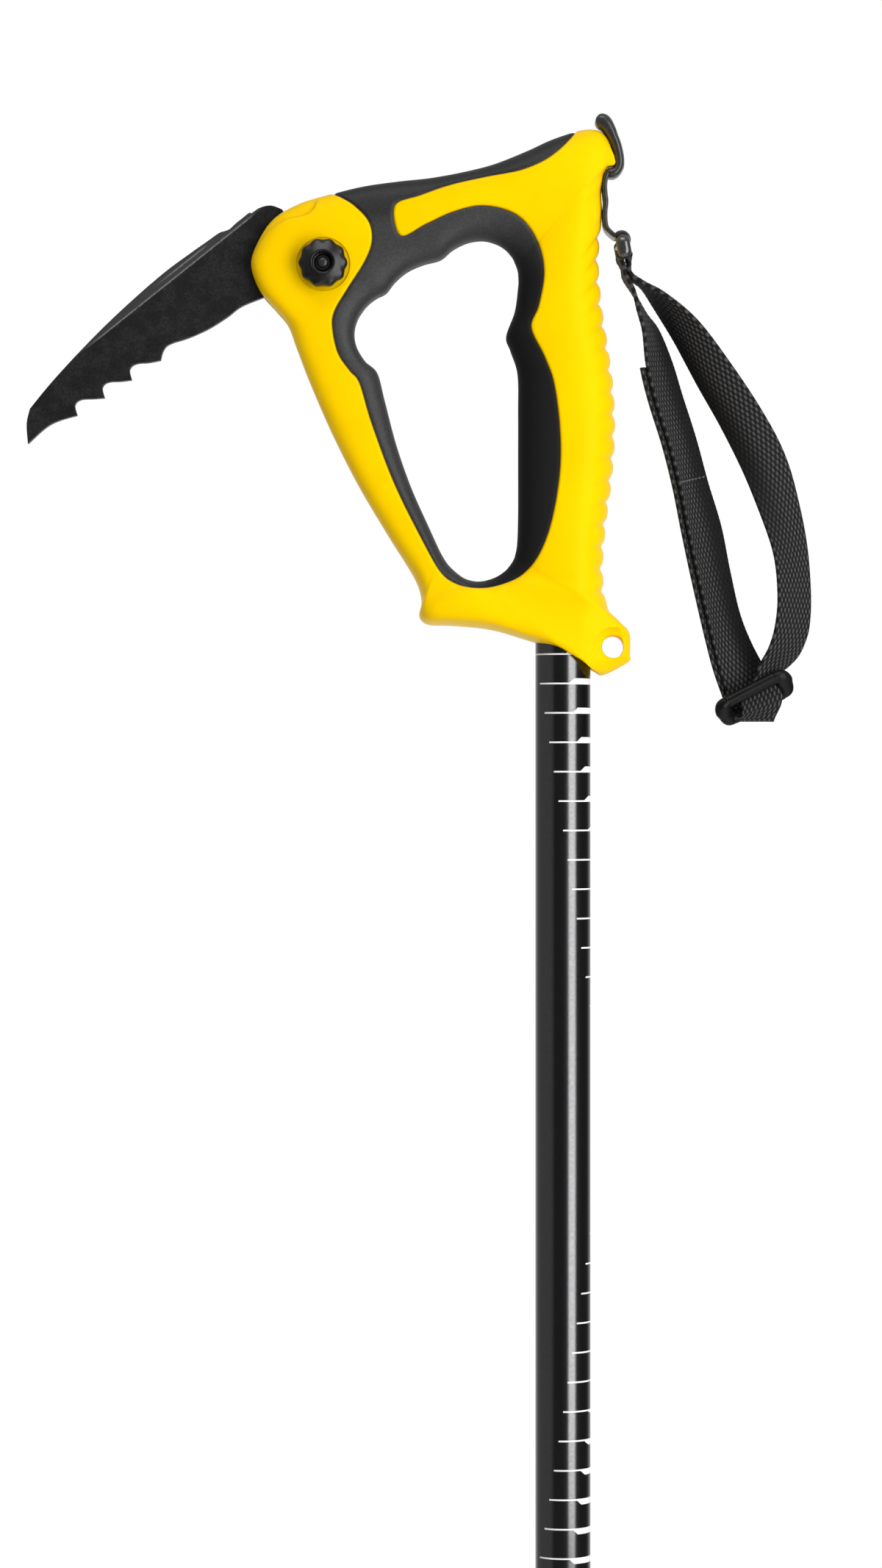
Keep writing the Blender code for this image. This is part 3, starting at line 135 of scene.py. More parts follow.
def fillet(points, radius, steps=4, closed=False):
    """A line of points with each corner replaced by a short curve."""
    points = [np.asarray(p, float) for p in points]
    count = len(points)
    t = np.linspace(0, 1, steps + 1)[:, None]
    result = []
    for i, here in enumerate(points):
        if not closed and i in (0, count - 1):
            result.append(here)
            continue
        ends = []
        for other in (points[i - 1], points[(i + 1) % count]):
            gap = np.linalg.norm(other - here)
            ends.append(here + (other - here) * min(radius, 0.45 * gap) / gap)
        result.append((1 - t) ** 2 * ends[0] + 2 * t * (1 - t) * here + t ** 2 * ends[1])
    return np.vstack(result)


def grid_faces(rows, columns, wrap_rows, wrap_columns):
    """Four-sided faces of a grid of points, which may close on itself either way."""
    i = np.arange(rows if wrap_rows else rows - 1)[:, None]
    j = np.arange(columns if wrap_columns else columns - 1)[None, :]
    i2, j2 = (i + 1) % rows, (j + 1) % columns
    corners = [i * columns + j, i * columns + j2, i2 * columns + j2, i2 * columns + j]
    return np.stack([c + 0 * (i + j) for c in corners], axis=-1).reshape(-1, 4)


def smooth_step(values):
    """0 below 0, 1 above 1, and a smooth rise between."""
    t = np.clip(values, 0, 1)
    return t * t * (3 - 2 * t)


def round_square(angle, power):
    """A superellipse in polar form: rho cos a and rho sin a, rho = (|cos a|^n + |sin a|^n)^(-1/n)."""
    c, s = np.cos(angle), np.sin(angle)
    rho = (np.abs(c) ** power + np.abs(s) ** power) ** (-1 / power)
    return rho * c, rho * s


def oval(half_wide, half_thick, power, number):
    """A rounded section."""
    c, s = round_square(directions(number), power)
    return np.column_stack([half_wide * c, half_thick * s])


def signed_distance(points, outline):
    """Distance of points in X and Z from a closed outline, negative inside it."""
    start, points = outline, points[:, [0, 2]]
    run = np.roll(outline, -1, axis=0) - start
    rise = np.where(run[:, 1] == 0, 1e-12, run[:, 1])
    result = np.empty(len(points))
    for part in np.array_split(np.arange(len(points)), max(1, len(points) // 4000)):
        p = points[part][:, None, :]
        away = p - start
        t = np.clip((away * run).sum(-1) / (run * run).sum(-1), 0, 1)
        gap = np.sqrt((((away - t[..., None] * run) ** 2).sum(-1)).min(1))
        low = start[:, 1] > p[..., 1]
        high = (start + run)[:, 1] > p[..., 1]
        cross = start[:, 0] + (p[..., 1] - start[:, 1]) * run[:, 0] / rise
        inside = ((low != high) & (p[..., 0] < cross)).sum(1) % 2 == 1
        result[part] = np.where(inside, -gap, gap)
    return result


def split(vertices, triangles, tags, values, level, snap=0.00004):
    """Triangles divided along the line where values reach a level; each part keeps its tag."""
    values = np.where(np.abs(values - level) < snap, level, values)
    above = values[triangles] > level
    mixed = above.any(1) & (values[triangles] < level).any(1)
    cut, above = triangles[mixed], above[mixed]
    lone = np.argmax(above == (above.sum(1) == 1)[:, None], axis=1)
    a, b, c = np.take_along_axis(cut, (lone[:, None] + np.arange(3)) % 3, 1).T
    edges = np.sort(np.concatenate([np.stack([a, b], 1), np.stack([a, c], 1)]), axis=1)
    pairs, where = np.unique(edges, axis=0, return_inverse=True)
    where = where.reshape(-1)
    first, second = values[pairs[:, 0]], values[pairs[:, 1]]
    t = np.clip((level - first) / np.where(second == first, 1, second - first), 0, 1)[:, None]
    place = np.where(second == level, pairs[:, 1], np.where(first == level, pairs[:, 0], -1))
    fresh = place < 0
    place[fresh] = len(vertices) + np.arange(fresh.sum())
    added = (vertices[pairs[:, 0]] * (1 - t) + vertices[pairs[:, 1]] * t)[fresh]
    ab, ac = place[where[:len(cut)]], place[where[len(cut):]]
    pieces = [np.stack(corners, 1) for corners in ((a, ab, ac), (ab, b, c), (ab, c, ac))]
    parts = np.vstack([triangles[~mixed], *pieces])
    tags = np.concatenate([tags[~mixed], np.tile(tags[mixed], 3)])
    real = (parts != np.roll(parts, 1, axis=1)).all(1)
    values = np.concatenate([values, np.full(len(added), level)])
    return np.vstack([vertices, added]), parts[real], tags[real], values


def vertex_normals(vertices, triangles):
    """Unit normals of a mesh, weighted by the faces' areas."""
    corners = vertices[triangles]
    face = np.cross(corners[:, 1] - corners[:, 0], corners[:, 2] - corners[:, 0])
    total = np.zeros_like(vertices)
    for k in range(3):
        for axis in range(3):
            total[:, axis] += np.bincount(triangles[:, k], face[:, axis], len(vertices))
    return total / np.maximum(np.linalg.norm(total, axis=1, keepdims=True), 1e-18)


# Pieces

def new_object(name, data):
    """An object in the scene."""
    thing = bpy.data.objects.new(name, data)
    bpy.context.scene.collection.objects.link(thing)
    return thing


def add_mesh(name, vertices, faces):
    """A piece from arrays; its faces all have the same number of corners."""
    vertices = np.asarray(vertices, np.float32).reshape(-1, 3)
    faces = np.asarray(faces, np.int32)
    mesh = bpy.data.meshes.new(name)
    mesh.vertices.add(len(vertices))
    mesh.vertices.foreach_set("co", vertices.ravel())
    mesh.loops.add(faces.size)
    mesh.loops.foreach_set("vertex_index", faces.ravel())
    mesh.polygons.add(len(faces))
    mesh.polygons.foreach_set("loop_start", np.arange(0, faces.size, faces.shape[1], dtype=np.int32))
    mesh.update(calc_edges=True)
    return new_object(name, mesh)


def read(items, key, width=1, kind=np.float32):
    """One property of a mesh's points, faces or triangles, as an array."""
    values = np.empty(len(items) * width, kind)
    items.foreach_get(key, values)
    return values.reshape(-1, width) if width > 1 else values


def mark(thing, name, domain, values):
    """Gives a piece's points or faces a value that its finish reads by name."""
    made = thing.data.attributes.new(name, "FLOAT", domain)
    made.data.foreach_set("value", values.astype(np.float32))


def clean(thing, merge=1e-7, flat=0.0, fill=False):
    """Welds a piece, closes its ends or joins its flat faces where asked, and turns its faces outwards."""
    work = bmesh.new()
    work.from_mesh(thing.data)
    if fill:
        bmesh.ops.holes_fill(work, edges=[e for e in work.edges if e.is_boundary])
    bmesh.ops.remove_doubles(work, verts=work.verts, dist=merge)
    bmesh.ops.dissolve_degenerate(work, edges=work.edges, dist=merge)
    if flat:
        bmesh.ops.dissolve_limit(work, angle_limit=flat, verts=work.verts, edges=work.edges)
    bmesh.ops.recalc_face_normals(work, faces=work.faces)
    work.to_mesh(thing.data)
    work.free()
    return thing


def modify(thing, kind, **settings):
    """Gives a piece its mesh as a modifier leaves it."""
    modifier = thing.modifiers.new("step", kind)
    for key, value in settings.items():
        setattr(modifier, key, value)
    graph = bpy.context.evaluated_depsgraph_get()
    mesh = bpy.data.meshes.new_from_object(thing.evaluated_get(graph))
    thing.modifiers.clear()
    thing.data = mesh
    return thing


def boolean(thing, other, operation="DIFFERENCE"):
    """Cuts a piece with a tool, or joins them, and removes the tool."""
    modify(thing, "BOOLEAN", operation=operation, solver="EXACT", object=other)
    bpy.data.objects.remove(other)
    return thing


def bevel(thing, width, segments=2, angle=30):
    """Rounds a piece's sharp edges."""
    return modify(thing, "BEVEL", width=width, segments=segments, limit_method="ANGLE",
                  angle_limit=math.radians(angle))


def place_piece(thing, body, slot, material, *nodes, angle=38):
    """Finishes a piece: material, smooth faces, body, and the nodes that it stands for. The slot is not used.
    """
    thing.data.materials.clear()
    thing.data.materials.append(material)
    thing.data.shade_smooth()
    thing.data.set_sharp_from_angle(angle=math.radians(angle))
    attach(thing, body)
    if nodes:
        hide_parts(*nodes)


def lathe(name, profile, sides, ring=False, lobes=0, wave=None):
    """A profile of (radius, height) turned about Z: x = r cos a, y = r sin a.

    With lobes, the radius is r + wave * cos(lobes * a), where each row has its own wave.
    """
    profile = np.asarray(profile, float)
    angle = directions(sides)
    radius = profile[:, :1] + np.zeros(sides)
    if lobes:
        radius = radius + wave[:, None] * np.cos(lobes * angle)
    points = np.stack([radius * np.cos(angle), radius * np.sin(angle),
                       profile[:, 1:] + np.zeros(sides)], axis=-1)
    return clean(add_mesh(name, points, grid_faces(len(profile), sides, ring, True)))


def turned(name, rows, rounding, steps, sides, ring=False):
    """A lathed piece with rounded corners."""
    return lathe(name, fillet(rows, rounding, steps, ring), sides, ring)


def facing_front(thing, x, z):
    """Turns a lathed piece so that its top faces the front, -Y, at a point."""
    thing.data.transform(Matrix.Translation((x, 0, z)) @ Matrix.Rotation(math.pi / 2, 4, "X"))
    return thing


def prism(name, outline, low, high):
    """A closed outline in X and Z carried along Y."""
    count = len(outline)
    rings = np.vstack([np.insert(outline, 1, y, axis=1) for y in (low, high)])
    ends = [list(range(count)), list(range(count, 2 * count))]
    mesh = bpy.data.meshes.new(name)
    mesh.from_pydata(rings.tolist(), [], grid_faces(2, count, False, True).tolist() + ends)
    return clean(new_object(name, mesh))


def sweep(name, spots, out, over, section, closed=False):
    """A section of (out, over) offsets carried along spots: point = spot + u * out + v * over."""
    if section.ndim == 2:
        section = np.broadcast_to(section, (len(spots), *section.shape))
    points = spots[:, None] + section[..., :1] * out[:, None] + section[..., 1:] * over[:, None]
    rows, columns = points.shape[:2]
    faces = grid_faces(rows, columns, closed, True)
    if closed:
        return clean(add_mesh(name, points, faces))
    vertices = np.vstack([points.reshape(-1, 3), points[[0, -1]].mean(axis=1)])
    j = np.arange(columns)
    after, last = (j + 1) % columns, (rows - 1) * columns
    middle = np.full(columns, rows * columns)
    caps = [np.stack([j, after, middle, middle], 1),
            np.stack([last + j, last + after, middle + 1, middle + 1], 1)]
    return clean(add_mesh(name, vertices, np.vstack([faces, *caps])))


# Finishes

def grey(level, blue=None):
    """A grey, with its own blue where given."""
    return level, level, blue or level


class Nodes:
    """A tree of shader nodes, with short calls for the kinds used here."""

    def __init__(self, tree):
        self.tree = tree

    def put(self, socket, value):
        """Gives a socket a link, a colour or a plain value."""
        if isinstance(value, bpy.types.NodeSocket):
            self.tree.links.new(value, socket)
        else:
            socket.default_value = (*value, 1) if socket.type == "RGBA" else value

    def add(self, kind, inputs=None, **settings):
        """The outputs of a new node with these inputs and settings."""
        made = self.tree.nodes.new("ShaderNode" + kind)
        for key, value in settings.items():
            setattr(made, key, value)
        for socket, value in (inputs or {}).items():
            self.put(made.inputs[socket], value)
        return made.outputs

    def use(self, source, **values):
        """The outputs of a node group."""
        return self.add("Group", values, node_tree=source)

    def spot(self):
        """The place on the piece, in the frame's axes."""
        return self.add("TexCoord")["Object"]

    def parts(self, vector):
        """The three parts of a vector."""
        return self.add("SeparateXYZ", {0: vector})

    def attribute(self, name):
        """A value that the piece's mesh holds."""
        return self.add("Attribute", attribute_name=name)["Fac"]

    def calc(self, operation, first, second=0.0):
        """Arithmetic on two values."""
        return self.add("Math", {0: first, 1: second}, operation=operation)[0]

    def times(self, first, *others):
        """The product of values."""
        for other in others:
            first = self.calc("MULTIPLY", first, other)
        return first

    def ramp(self, value, low, high):
        """A value mapped to 0 at low and 1 at high, smoothly."""
        return self.add("MapRange", {"Value": value, "From Min": low, "From Max": high},
                        interpolation_type="SMOOTHSTEP")[0]

    def mix(self, factor, first, second):
        """Two colours mixed by a factor."""
        return self.add("Mix", {0: factor, 6: first, 7: second}, data_type="RGBA")[2]

    def noise(self, spot, scale, detail, rough=0.5):
        """Noise from 0 to 1."""
        return self.add("TexNoise", {"Vector": spot, "Scale": scale, "Detail": detail, "Roughness": rough})[0]

    def streaks(self, spot, scale, detail, turn=(0, 0, 0)):
        """Noise stretched along an axis, after a turn."""
        stretched = self.add("Mapping", {"Vector": spot, "Rotation": turn, "Scale": scale})[0]
        return self.noise(stretched, 1.0, detail)


class Finish(Nodes):
    """A material with a Principled shader, whose sockets are named with underscores for spaces."""

    def __init__(self, name, **settings):
        self.material = bpy.data.materials.new(name)
        self.material.use_nodes = True
        super().__init__(self.material.node_tree)
        self.shader = self.tree.nodes["Principled BSDF"]
        self.set(**settings)

    def set(self, **settings):
        """Gives the shader's sockets values or links."""
        for label, value in settings.items():
            self.put(self.shader.inputs[label.replace("_", " ")], value)

    def bump(self, height, depth):
        """Puts a height on the shader's normal, to a depth in microns."""
        inputs = {"Height": height, "Distance": depth * MICRON, "Strength": 1.0}
        self.set(Normal=self.add("Bump", inputs)[0])

    def grain(self, scale, depth):
        """Puts the grain on the shader's normal, and gives its outputs."""
        texture = self.use(GRAIN, Scale=scale)
        self.bump(texture["Height"], depth)
        return texture

    def done(self, tone, value, low, high):
        """The material, with its colour, and with roughness spread between two levels by a value."""
        spread = self.add("MapRange", {"Value": value, "To Min": low, "To Max": high})[0]
        self.set(Base_Color=tone, Roughness=spread)
        return self.material


def group(name, inputs, outputs):
    """An empty node group with plain values as sockets: its nodes, inputs and outputs."""
    tree = bpy.data.node_groups.new(name, "ShaderNodeTree")
    for label, value in inputs.items():
        made = tree.interface.new_socket(name=label, in_out="INPUT", socket_type="NodeSocketFloat")
        made.default_value = value
    for label in outputs:
        tree.interface.new_socket(name=label, in_out="OUTPUT", socket_type="NodeSocketFloat")
    given, result = tree.nodes.new("NodeGroupInput"), tree.nodes.new("NodeGroupOutput")
    return Nodes(tree), given.outputs, result.inputs


def grain_group():
    """Fine grain on two scales, and a slow drift: a height, a speckle and a cloud from 0 to 1."""
    nodes, given, result = group("surface_grain", {"Scale": 1.0}, ("Height", "Speckle", "Cloud"))
    spot = nodes.spot()
    fine, coarse, slow = [nodes.noise(spot, nodes.times(given["Scale"], size), detail, 0.55)
                          for size, detail in ((5200, 2), (1500, 3), (60, 4))]
    nodes.put(result["Height"], nodes.calc("ADD", nodes.times(fine, 0.6), nodes.times(coarse, 0.4)))
    nodes.put(result["Speckle"], nodes.ramp(coarse, 0.35, 0.7))
    nodes.put(result["Cloud"], nodes.ramp(slow, 0.3, 0.7))
    return nodes.tree


def scratch_group():
    """Sparse fine scratches that run along X: a mask from 0 to 1."""
    nodes, given, result = group("fine_scratches", {"Amount": 0.5}, ("Mask",))
    spot = nodes.spot()
    lines = nodes.streaks(spot, (40, 900, 1600), 2.0, (0, 0.6, 0))
    patch = nodes.noise(spot, 90.0, 2.0)
    keen = nodes.times(nodes.ramp(lines, 0.62, 0.72), nodes.ramp(patch, 0.45, 0.7), given["Amount"])
    nodes.put(result["Mask"], keen)
    return nodes.tree


GRAIN = grain_group()
SCRATCHES = scratch_group()


def plain_finish(name, first, second, rough, grain, depth, scratches=None, **settings):
    """A grained finish: two tones by speckle, roughness by drift, bump by grain, and fine scratches.

    Scratches are given by their amount and colour.
    """
    look = Finish(name, **settings)
    texture = look.grain(grain, depth)
    tone = look.mix(texture["Speckle"], first, second)
    if scratches:
        amount, colour = scratches
        tone = look.mix(look.use(SCRATCHES, Amount=amount)["Mask"], tone, colour)
    return look.done(tone, texture["Cloud"], *rough)


def yellow_finish():
    """Moulded yellow plastic: a fine grain, and a thin painted shade line along the edge of the rubber and
    along the facet's bend.
    """
    look = Finish("yellow_plastic", Specular_IOR_Level=0.22, Specular_Tint=(1, 0.72, 0.06))
    cloud = look.grain(1.0, 12)["Cloud"]
    tone = look.mix(cloud, (0.94, 0.58, 0.0), (0.98, 0.612, 0.0))
    # painted shade: darker yellow within 0.45 mm of the rubber's edge and of the facet's bend
    shade = look.ramp(look.attribute("seam"), 0.45, 0.0)
    return look.done(look.mix(shade, tone, (0.3, 0.17, 0.0)), cloud, 0.34, 0.42)


WEAVE_ROWS = 0.00165             # from one cross yarn to the next
WEAVE_COLUMNS = 0.0008           # from one warp yarn to the next
# painted shade over one side of each leg: its fades along the webbing and across it
PAINTED_SHADE_SIDES = [((0.17, 0.14), (-0.0015, 0.0045)), ((0.215, 0.26), (0.0025, -0.0055))]


def webbing_finish():
    """Black webbing: light yarn crowns in a plain weave on the piece's own map.

    Two sides of its legs are darkened as painted shade, each given by its fades along the webbing and across
    it.
    """
    look = Finish("black_webbing", Specular_IOR_Level=0.2, Sheen_Weight=0.05, Sheen_Roughness=0.4)
    place = look.add("UVMap")[0]
    along, across, _ = look.parts(place)
    waves = [look.calc("COSINE", look.times(part, math.pi / pitch))
             for part, pitch in ((along, WEAVE_ROWS), (across, WEAVE_COLUMNS))]
    crown = look.ramp(look.times(*waves), -0.25, 0.9)
    fibre = look.streaks(place, (900, 5200, 1), 3.0)
    light = look.times(crown, look.calc("ADD", fibre, 0.35))
    tone = look.mix(light, grey(0.006, 0.0063), grey(0.085, 0.087))
    # mask of the painted shade on the two sides, darkened towards near black
    sides = [look.times(look.ramp(along, *run), look.ramp(across, *wide)) for run, wide in PAINTED_SHADE_SIDES]
    dark = look.times(look.calc("MAXIMUM", *sides), 0.92)
    look.bump(look.calc("ADD", crown, look.times(fibre, 0.4)), 120)
    return look.done(look.mix(dark, tone, grey(0.004, 0.0042)), fibre, 0.62, 0.9)


MARK_PITCH = 0.00955
MARK_COUNT = 13
MARK_MIDDLE = -0.2311            # height about which the two rows of marks mirror each other
MARK_FIRST = 0.1517              # from that height to the first mark
MARK_HALF = 0.00026
MARK_STARTS = (-0.0091, 0.00149)  # X where the first line starts, and the step to the next one's
FLAG_STARTS = (0.00055, 0.0012)
FLAG_HEIGHT = 0.0017


def marks_group():
    """Printed scale marks: thin lines, each starting further round than the last, with a flag at the right."""
    nodes, _, result = group("scale_marks", {}, ("Mask",))
    calc, times = nodes.calc, nodes.times
    x, _, z = nodes.parts(nodes.spot())
    away = calc("ABSOLUTE", calc("SUBTRACT", z, MARK_MIDDLE))
    place = calc("DIVIDE", calc("SUBTRACT", MARK_FIRST, away), MARK_PITCH)
    number = calc("FLOOR", calc("ADD", place, 0.82))
    above = times(calc("SUBTRACT", number, place), MARK_PITCH)
    listed = times(calc("GREATER_THAN", number, -0.5), calc("LESS_THAN", number, MARK_COUNT - 0.5))
    line_start, flag_start = [calc("ADD", times(number, step), first)
                              for first, step in (MARK_STARTS, FLAG_STARTS)]
    line = times(calc("GREATER_THAN", x, line_start), calc("LESS_THAN", calc("ABSOLUTE", above), MARK_HALF))
    slope = calc("SUBTRACT", calc("SUBTRACT", x, flag_start), above)
    flag = times(calc("GREATER_THAN", slope, 0.0), calc("GREATER_THAN", above, 0.0),
                 calc("LESS_THAN", above, FLAG_HEIGHT))
    nodes.put(result["Mask"], times(calc("MAXIMUM", line, flag), listed))
    return nodes.tree


def shaft_finish():
    """Black anodised tube with white printed marks, and faint lengthwise rubbing."""
    look = Finish("black_shaft")
    speckle = look.grain(0.8, 3)["Speckle"]
    mask = look.use(marks_group())["Mask"]
    tone = look.mix(speckle, grey(0.118, 0.12), grey(0.136, 0.138))
    look.set(Metallic=look.calc("SUBTRACT", 1.0, mask))
    rub = look.streaks(look.spot(), (2400, 2400, 18), 2.0)
    return look.done(look.mix(mask, tone, grey(0.84)), rub, 0.17, 0.23)


GRIND_LINE = mm([(10.7, 26.4), (80.9, 16.8)])
FACET_LINE = mm([(28.7, 25.7), (50.9, 22.8)])


def on_blade(rows, fold=0.0):
    """Points of the pick by their places along and off the line from the pivot to the tip."""
    along, off = np.asarray(rows, float).T
    angle = math.radians(PICK_DROOP + fold)
    return np.stack([PIVOT[0] + along * math.cos(angle) + off * math.sin(angle),
                     PIVOT[1] + along * math.sin(angle) - off * math.cos(angle)], axis=-1)


def stroke(look, spot, line, half=0.0004):
    """A thin painted highlight on the blade between two points, along a crease of the grinding: a mask from 0
    to 1.
    """
    first, last = on_blade(line)
    length = np.linalg.norm(last - first)
    run = (last - first) / length
    parts = []
    for way in (run, np.array([-run[1], run[0]])):
        dot = look.add("VectorMath", {0: spot, 1: (way[0], 0, way[1])}, operation="DOT_PRODUCT")["Value"]
        parts.append(look.calc("SUBTRACT", dot, float(first @ way)))
    along, aside = parts
    return look.times(look.ramp(along, -0.001, 0.004), look.ramp(along, length + 0.001, length - 0.01),
                      look.ramp(look.calc("ABSOLUTE", aside), half, 0.3 * half))


def pick_finish():
    """Black coated steel: mottled, with paler ground faces along the back, worn edges, and painted highlights
    along two grind lines.
    """
    look = Finish("coated_steel", Specular_IOR_Level=0.25)
    cloud = look.grain(0.45, 30)["Cloud"]
    spot = look.spot()
    blot, patch = look.noise(spot, 1400.0, 4.0), look.noise(spot, 240.0, 5.0)
    tone = look.mix(look.ramp(blot, 0.3, 0.75), grey(0.0085, 0.009), grey(0.019, 0.02))
    worn = look.times(look.attribute("edge"), look.ramp(cloud, 0.1, 0.9))
    layers = [(look.ramp(patch, 0.4, 0.62), 0.65, grey(0.004, 0.0042)),
              (look.attribute("ground"), 0.8, grey(0.04, 0.041)), (worn, 0.8, grey(0.11, 0.112))]
    # painted highlights along the grind line and the facet line
    layers += [(stroke(look, spot, line), look.ramp(blot, 0.1, 0.6), grey(0.15, 0.152))
               for line in (GRIND_LINE, FACET_LINE)]
    for mask, share, colour in layers:
        tone = look.mix(look.times(mask, share), tone, colour)
    return look.done(tone, blot, 0.4, 0.58)


def rubber_finish():
    """Grip rubber: fine grain, with painted light and shade: lighter on the front strut, darker along the top
    and darkest at the palm.
    """
    look = Finish("grip_rubber", Specular_IOR_Level=0.4)
    speckle = look.grain(1.0, 30)["Speckle"]
    x, _, z = look.parts(look.spot())
    # palm: mask of the painted shade on the rear grip's side that faces the opening
    palm = look.times(look.ramp(x, -0.036, -0.02), look.ramp(z, 0.064, 0.04))
    rise = look.calc("SUBTRACT", z, look.times(x, 0.22))
    # painted light and shade: the lit tone on the strut and below the top, a darker top, and a near-black palm
    lit_tone = look.mix(speckle, grey(0.026, 0.0265), grey(0.04, 0.041))
    top = look.mix(speckle, grey(0.011, 0.0112), grey(0.019, 0.0193))
    dark = look.mix(speckle, grey(0.0006), grey(0.0016))
    tone = look.mix(look.ramp(rise, 0.0722, 0.0775), lit_tone, top)
    return look.done(look.mix(palm, tone, dark), palm, 0.54, 0.78)


YELLOW = yellow_finish()
PICK_BLACK = pick_finish()
RUBBER = rubber_finish()
WEBBING = webbing_finish()
SHAFT = shaft_finish()
SATIN = plain_finish("satin_black_plastic", grey(0.01, 0.011), grey(0.018, 0.019), (0.34, 0.48), 0.8, 20,
                     (0.3, grey(0.06)))
STEEL = plain_finish("bright_steel", grey(0.5, 0.51), grey(0.6, 0.61), (0.22, 0.36), 0.8, 6,
                     (0.5, grey(0.75, 0.76)), Metallic=1.0)
DARK_STEEL = plain_finish("blackened_steel", grey(0.018, 0.019), grey(0.03, 0.031), (0.26, 0.4), 0.8, 6,
                          (0.5, grey(0.1)))
MOULDED = plain_finish("moulded_black_plastic", grey(0.022, 0.0225), grey(0.036, 0.037), (0.2, 0.3), 0.6, 8,
                       (0.3, grey(0.07)), Specular_IOR_Level=0.7)
MATTE = plain_finish("matte_black_plastic", grey(0.0035, 0.0037), grey(0.007, 0.0073), (0.3, 0.42), 0.7, 20,
                     (0.25, grey(0.03)), Specular_IOR_Level=0.2)
KNOB_BLACK = plain_finish("grainy_black_plastic", grey(0.0035, 0.0037), grey(0.007, 0.0073), (0.26, 0.4),
                          0.8, 50)
LINK_BLACK = plain_finish("black_wire", grey(0.024, 0.025), grey(0.04, 0.042), (0.1, 0.18), 0.6, 6,
                          (0.3, grey(0.2)), Specular_IOR_Level=1.0)
BRASS = plain_finish("brass", (0.66, 0.46, 0.2), (0.74, 0.55, 0.27), (0.26, 0.4), 0.8, 6, Metallic=1.0)
GREY_TUBE = plain_finish("grey_shaft", (0.36, 0.37, 0.38), (0.44, 0.45, 0.46), (0.28, 0.38), 0.8, 6,
                         (0.6, grey(0.62, 0.63)), Metallic=1.0)
THREAD = plain_finish("grey_thread", grey(0.07, 0.072), grey(0.13, 0.132), (0.55, 0.75), 1.2, 30)


# Handle

RIB_TOP = 0.064
RIB_PITCH = 0.0073
RIB_DEPTH = 0.0012
RIB_LEAN = 0.6                   # share of a pitch that the ribs drop in one pitch inwards
FIRST_RIB = 0.00376              # below the top of the ribbed length
GROOVE_PITCH = 0.0072
PALM_ROWS = (20, 28)
REST_HEIGHT = 0.0012
HANDLE_ROWS = 640
HANDLE_COLUMNS = 104
BLUR_ROWS = 18


def back(rows):
    """Points behind the pole, by the wall between them and their height, in millimetres."""
    return mm(rows) + (BORE, 0)


def front(rows):
    """Points before the pole, by the wall between them and their height, in millimetres."""
    return mm(rows) * (-1, 1) - (BORE, 0)


def boss(degrees, extra):
    """Points round the pick's boss, by their directions, and by how far they lie outside it in millimetres."""
    return polar(PIVOT, BOSS_RADIUS + mm(extra), degrees)


def handle_table():
    """Outer and inner point, half thickness at both, and squareness, of sections round the hand opening."""
    palm = mm([3.4, 2.45, 3.4, 5.6, 7.4, 7.7, 6.6, 4.7, 3.8])
    outer = [
        boss([179, 160, 137, 113, 90], [1.2, 0.4, 0, -0.6, 0.4]),
        mm([(-66, 73), (-54, 74.8), (-43.4, 76), (-32.6, 78), (-22.5, 80.6), (-12, 84.8), (-4, 88.5)]),
        back([(-5.3, 91.2), (0.2, 91.9), (3.7, 90.7), (6.3, 86.8), (6.7, 82.4), (4.7, 78.6), (3.9, 75),
              (3.2, 71.2)]),
        np.column_stack([BORE + palm, RIB_TOP - 2 * RIB_PITCH * np.arange(len(palm))]),
        back([(5.3, -63.8), (9.2, -68.6), (12.4, -72.4), (12.6, -79.4), (12.1, -81.8), (3.7, -86.1),
              (0.5, -84.3)]),
        mm([(-1, -78.3), (-12, -74.6), (-24, -71.2), (-36, -70), (-44, -69.6), (-46.9, -67), (-46.2, -62),
            (-48.5, -54.5), (-57.5, -40), (-67, -24), (-75.6, -7), (-82.8, 9.5), (-87, 20.5), (-89.8, 28)]),
        boss([222, 201], [-1.4, -0.2])]
    inner = [
        mm([(-65, 33), (-63, 35.2), (-60.5, 37), (-57.5, 38.6), (-54.5, 42.3), (-50.5, 45.6), (-45.5, 47.8),
            (-39.8, 49.4), (-35.8, 52.6), (-31, 54.9), (-26, 55.5), (-21.8, 54.4), (-19, 52.7), (-17.4, 51)]),
        front([(7.1, 49.6), (6.5, 48.2), (6, 47), (5.7, 46), (5.5, 45), (5.4, 43), (5.5, 40.5), (6.6, 32.5),
               (9.4, 24.4), (8, 19.6), (5.7, 12), (5.5, -1), (5.5, -17), (5.5, -33), (5.8, -43), (6.5, -47),
               (7, -48.4), (7.7, -49.6), (8.6, -50.8), (9.7, -52), (12.5, -53.9)]),
        mm([(-25.2, -55.1), (-28.5, -55.4), (-31.8, -54.6), (-34, -53.2), (-35.8, -51.6), (-37.5, -49.8),
            (-38.8, -47.8), (-40.3, -45), (-43.5, -38), (-49.3, -25), (-54.2, -11), (-58, 3.5), (-60.4, 12.4),
            (-64.3, 16.2), (-67, 20.6), (-67.9, 25.2), (-67, 29.6)])]
    sections = np.array([
        (0, 11, 11, 4.5), (5, 11, 11, 4), (8, 11.5, 11.5, 3), (12, 11.5, 11.5, 2.6), (16, 10.3, 11.5, 2.6),
        (21, 12.9, 12.5, 2.5), (26, 13.5, 12.5, 2.4), (29, 12.5, 13.5, 2.6), (31, 8.6, 13.8, 3),
        (33, 7.4, 14, 3), (35, 9.8, 14, 3), (38, 14, 13.6, 3.2), (40, 14, 12.6, 3.2), (42, 12, 11, 3),
        (44, 9, 9.4, 3), (48, 9, 9.4, 3.2), (51, 11, 11, 4.4), (52, 11, 11, 4.5)])
    outer, inner = np.vstack(outer), np.vstack(inner)
    row, *values = sections.T
    profile = np.column_stack([np.interp(range(len(outer)), row, value) for value in values])
    return np.hstack([outer, inner, profile * (MM, MM, 1)])


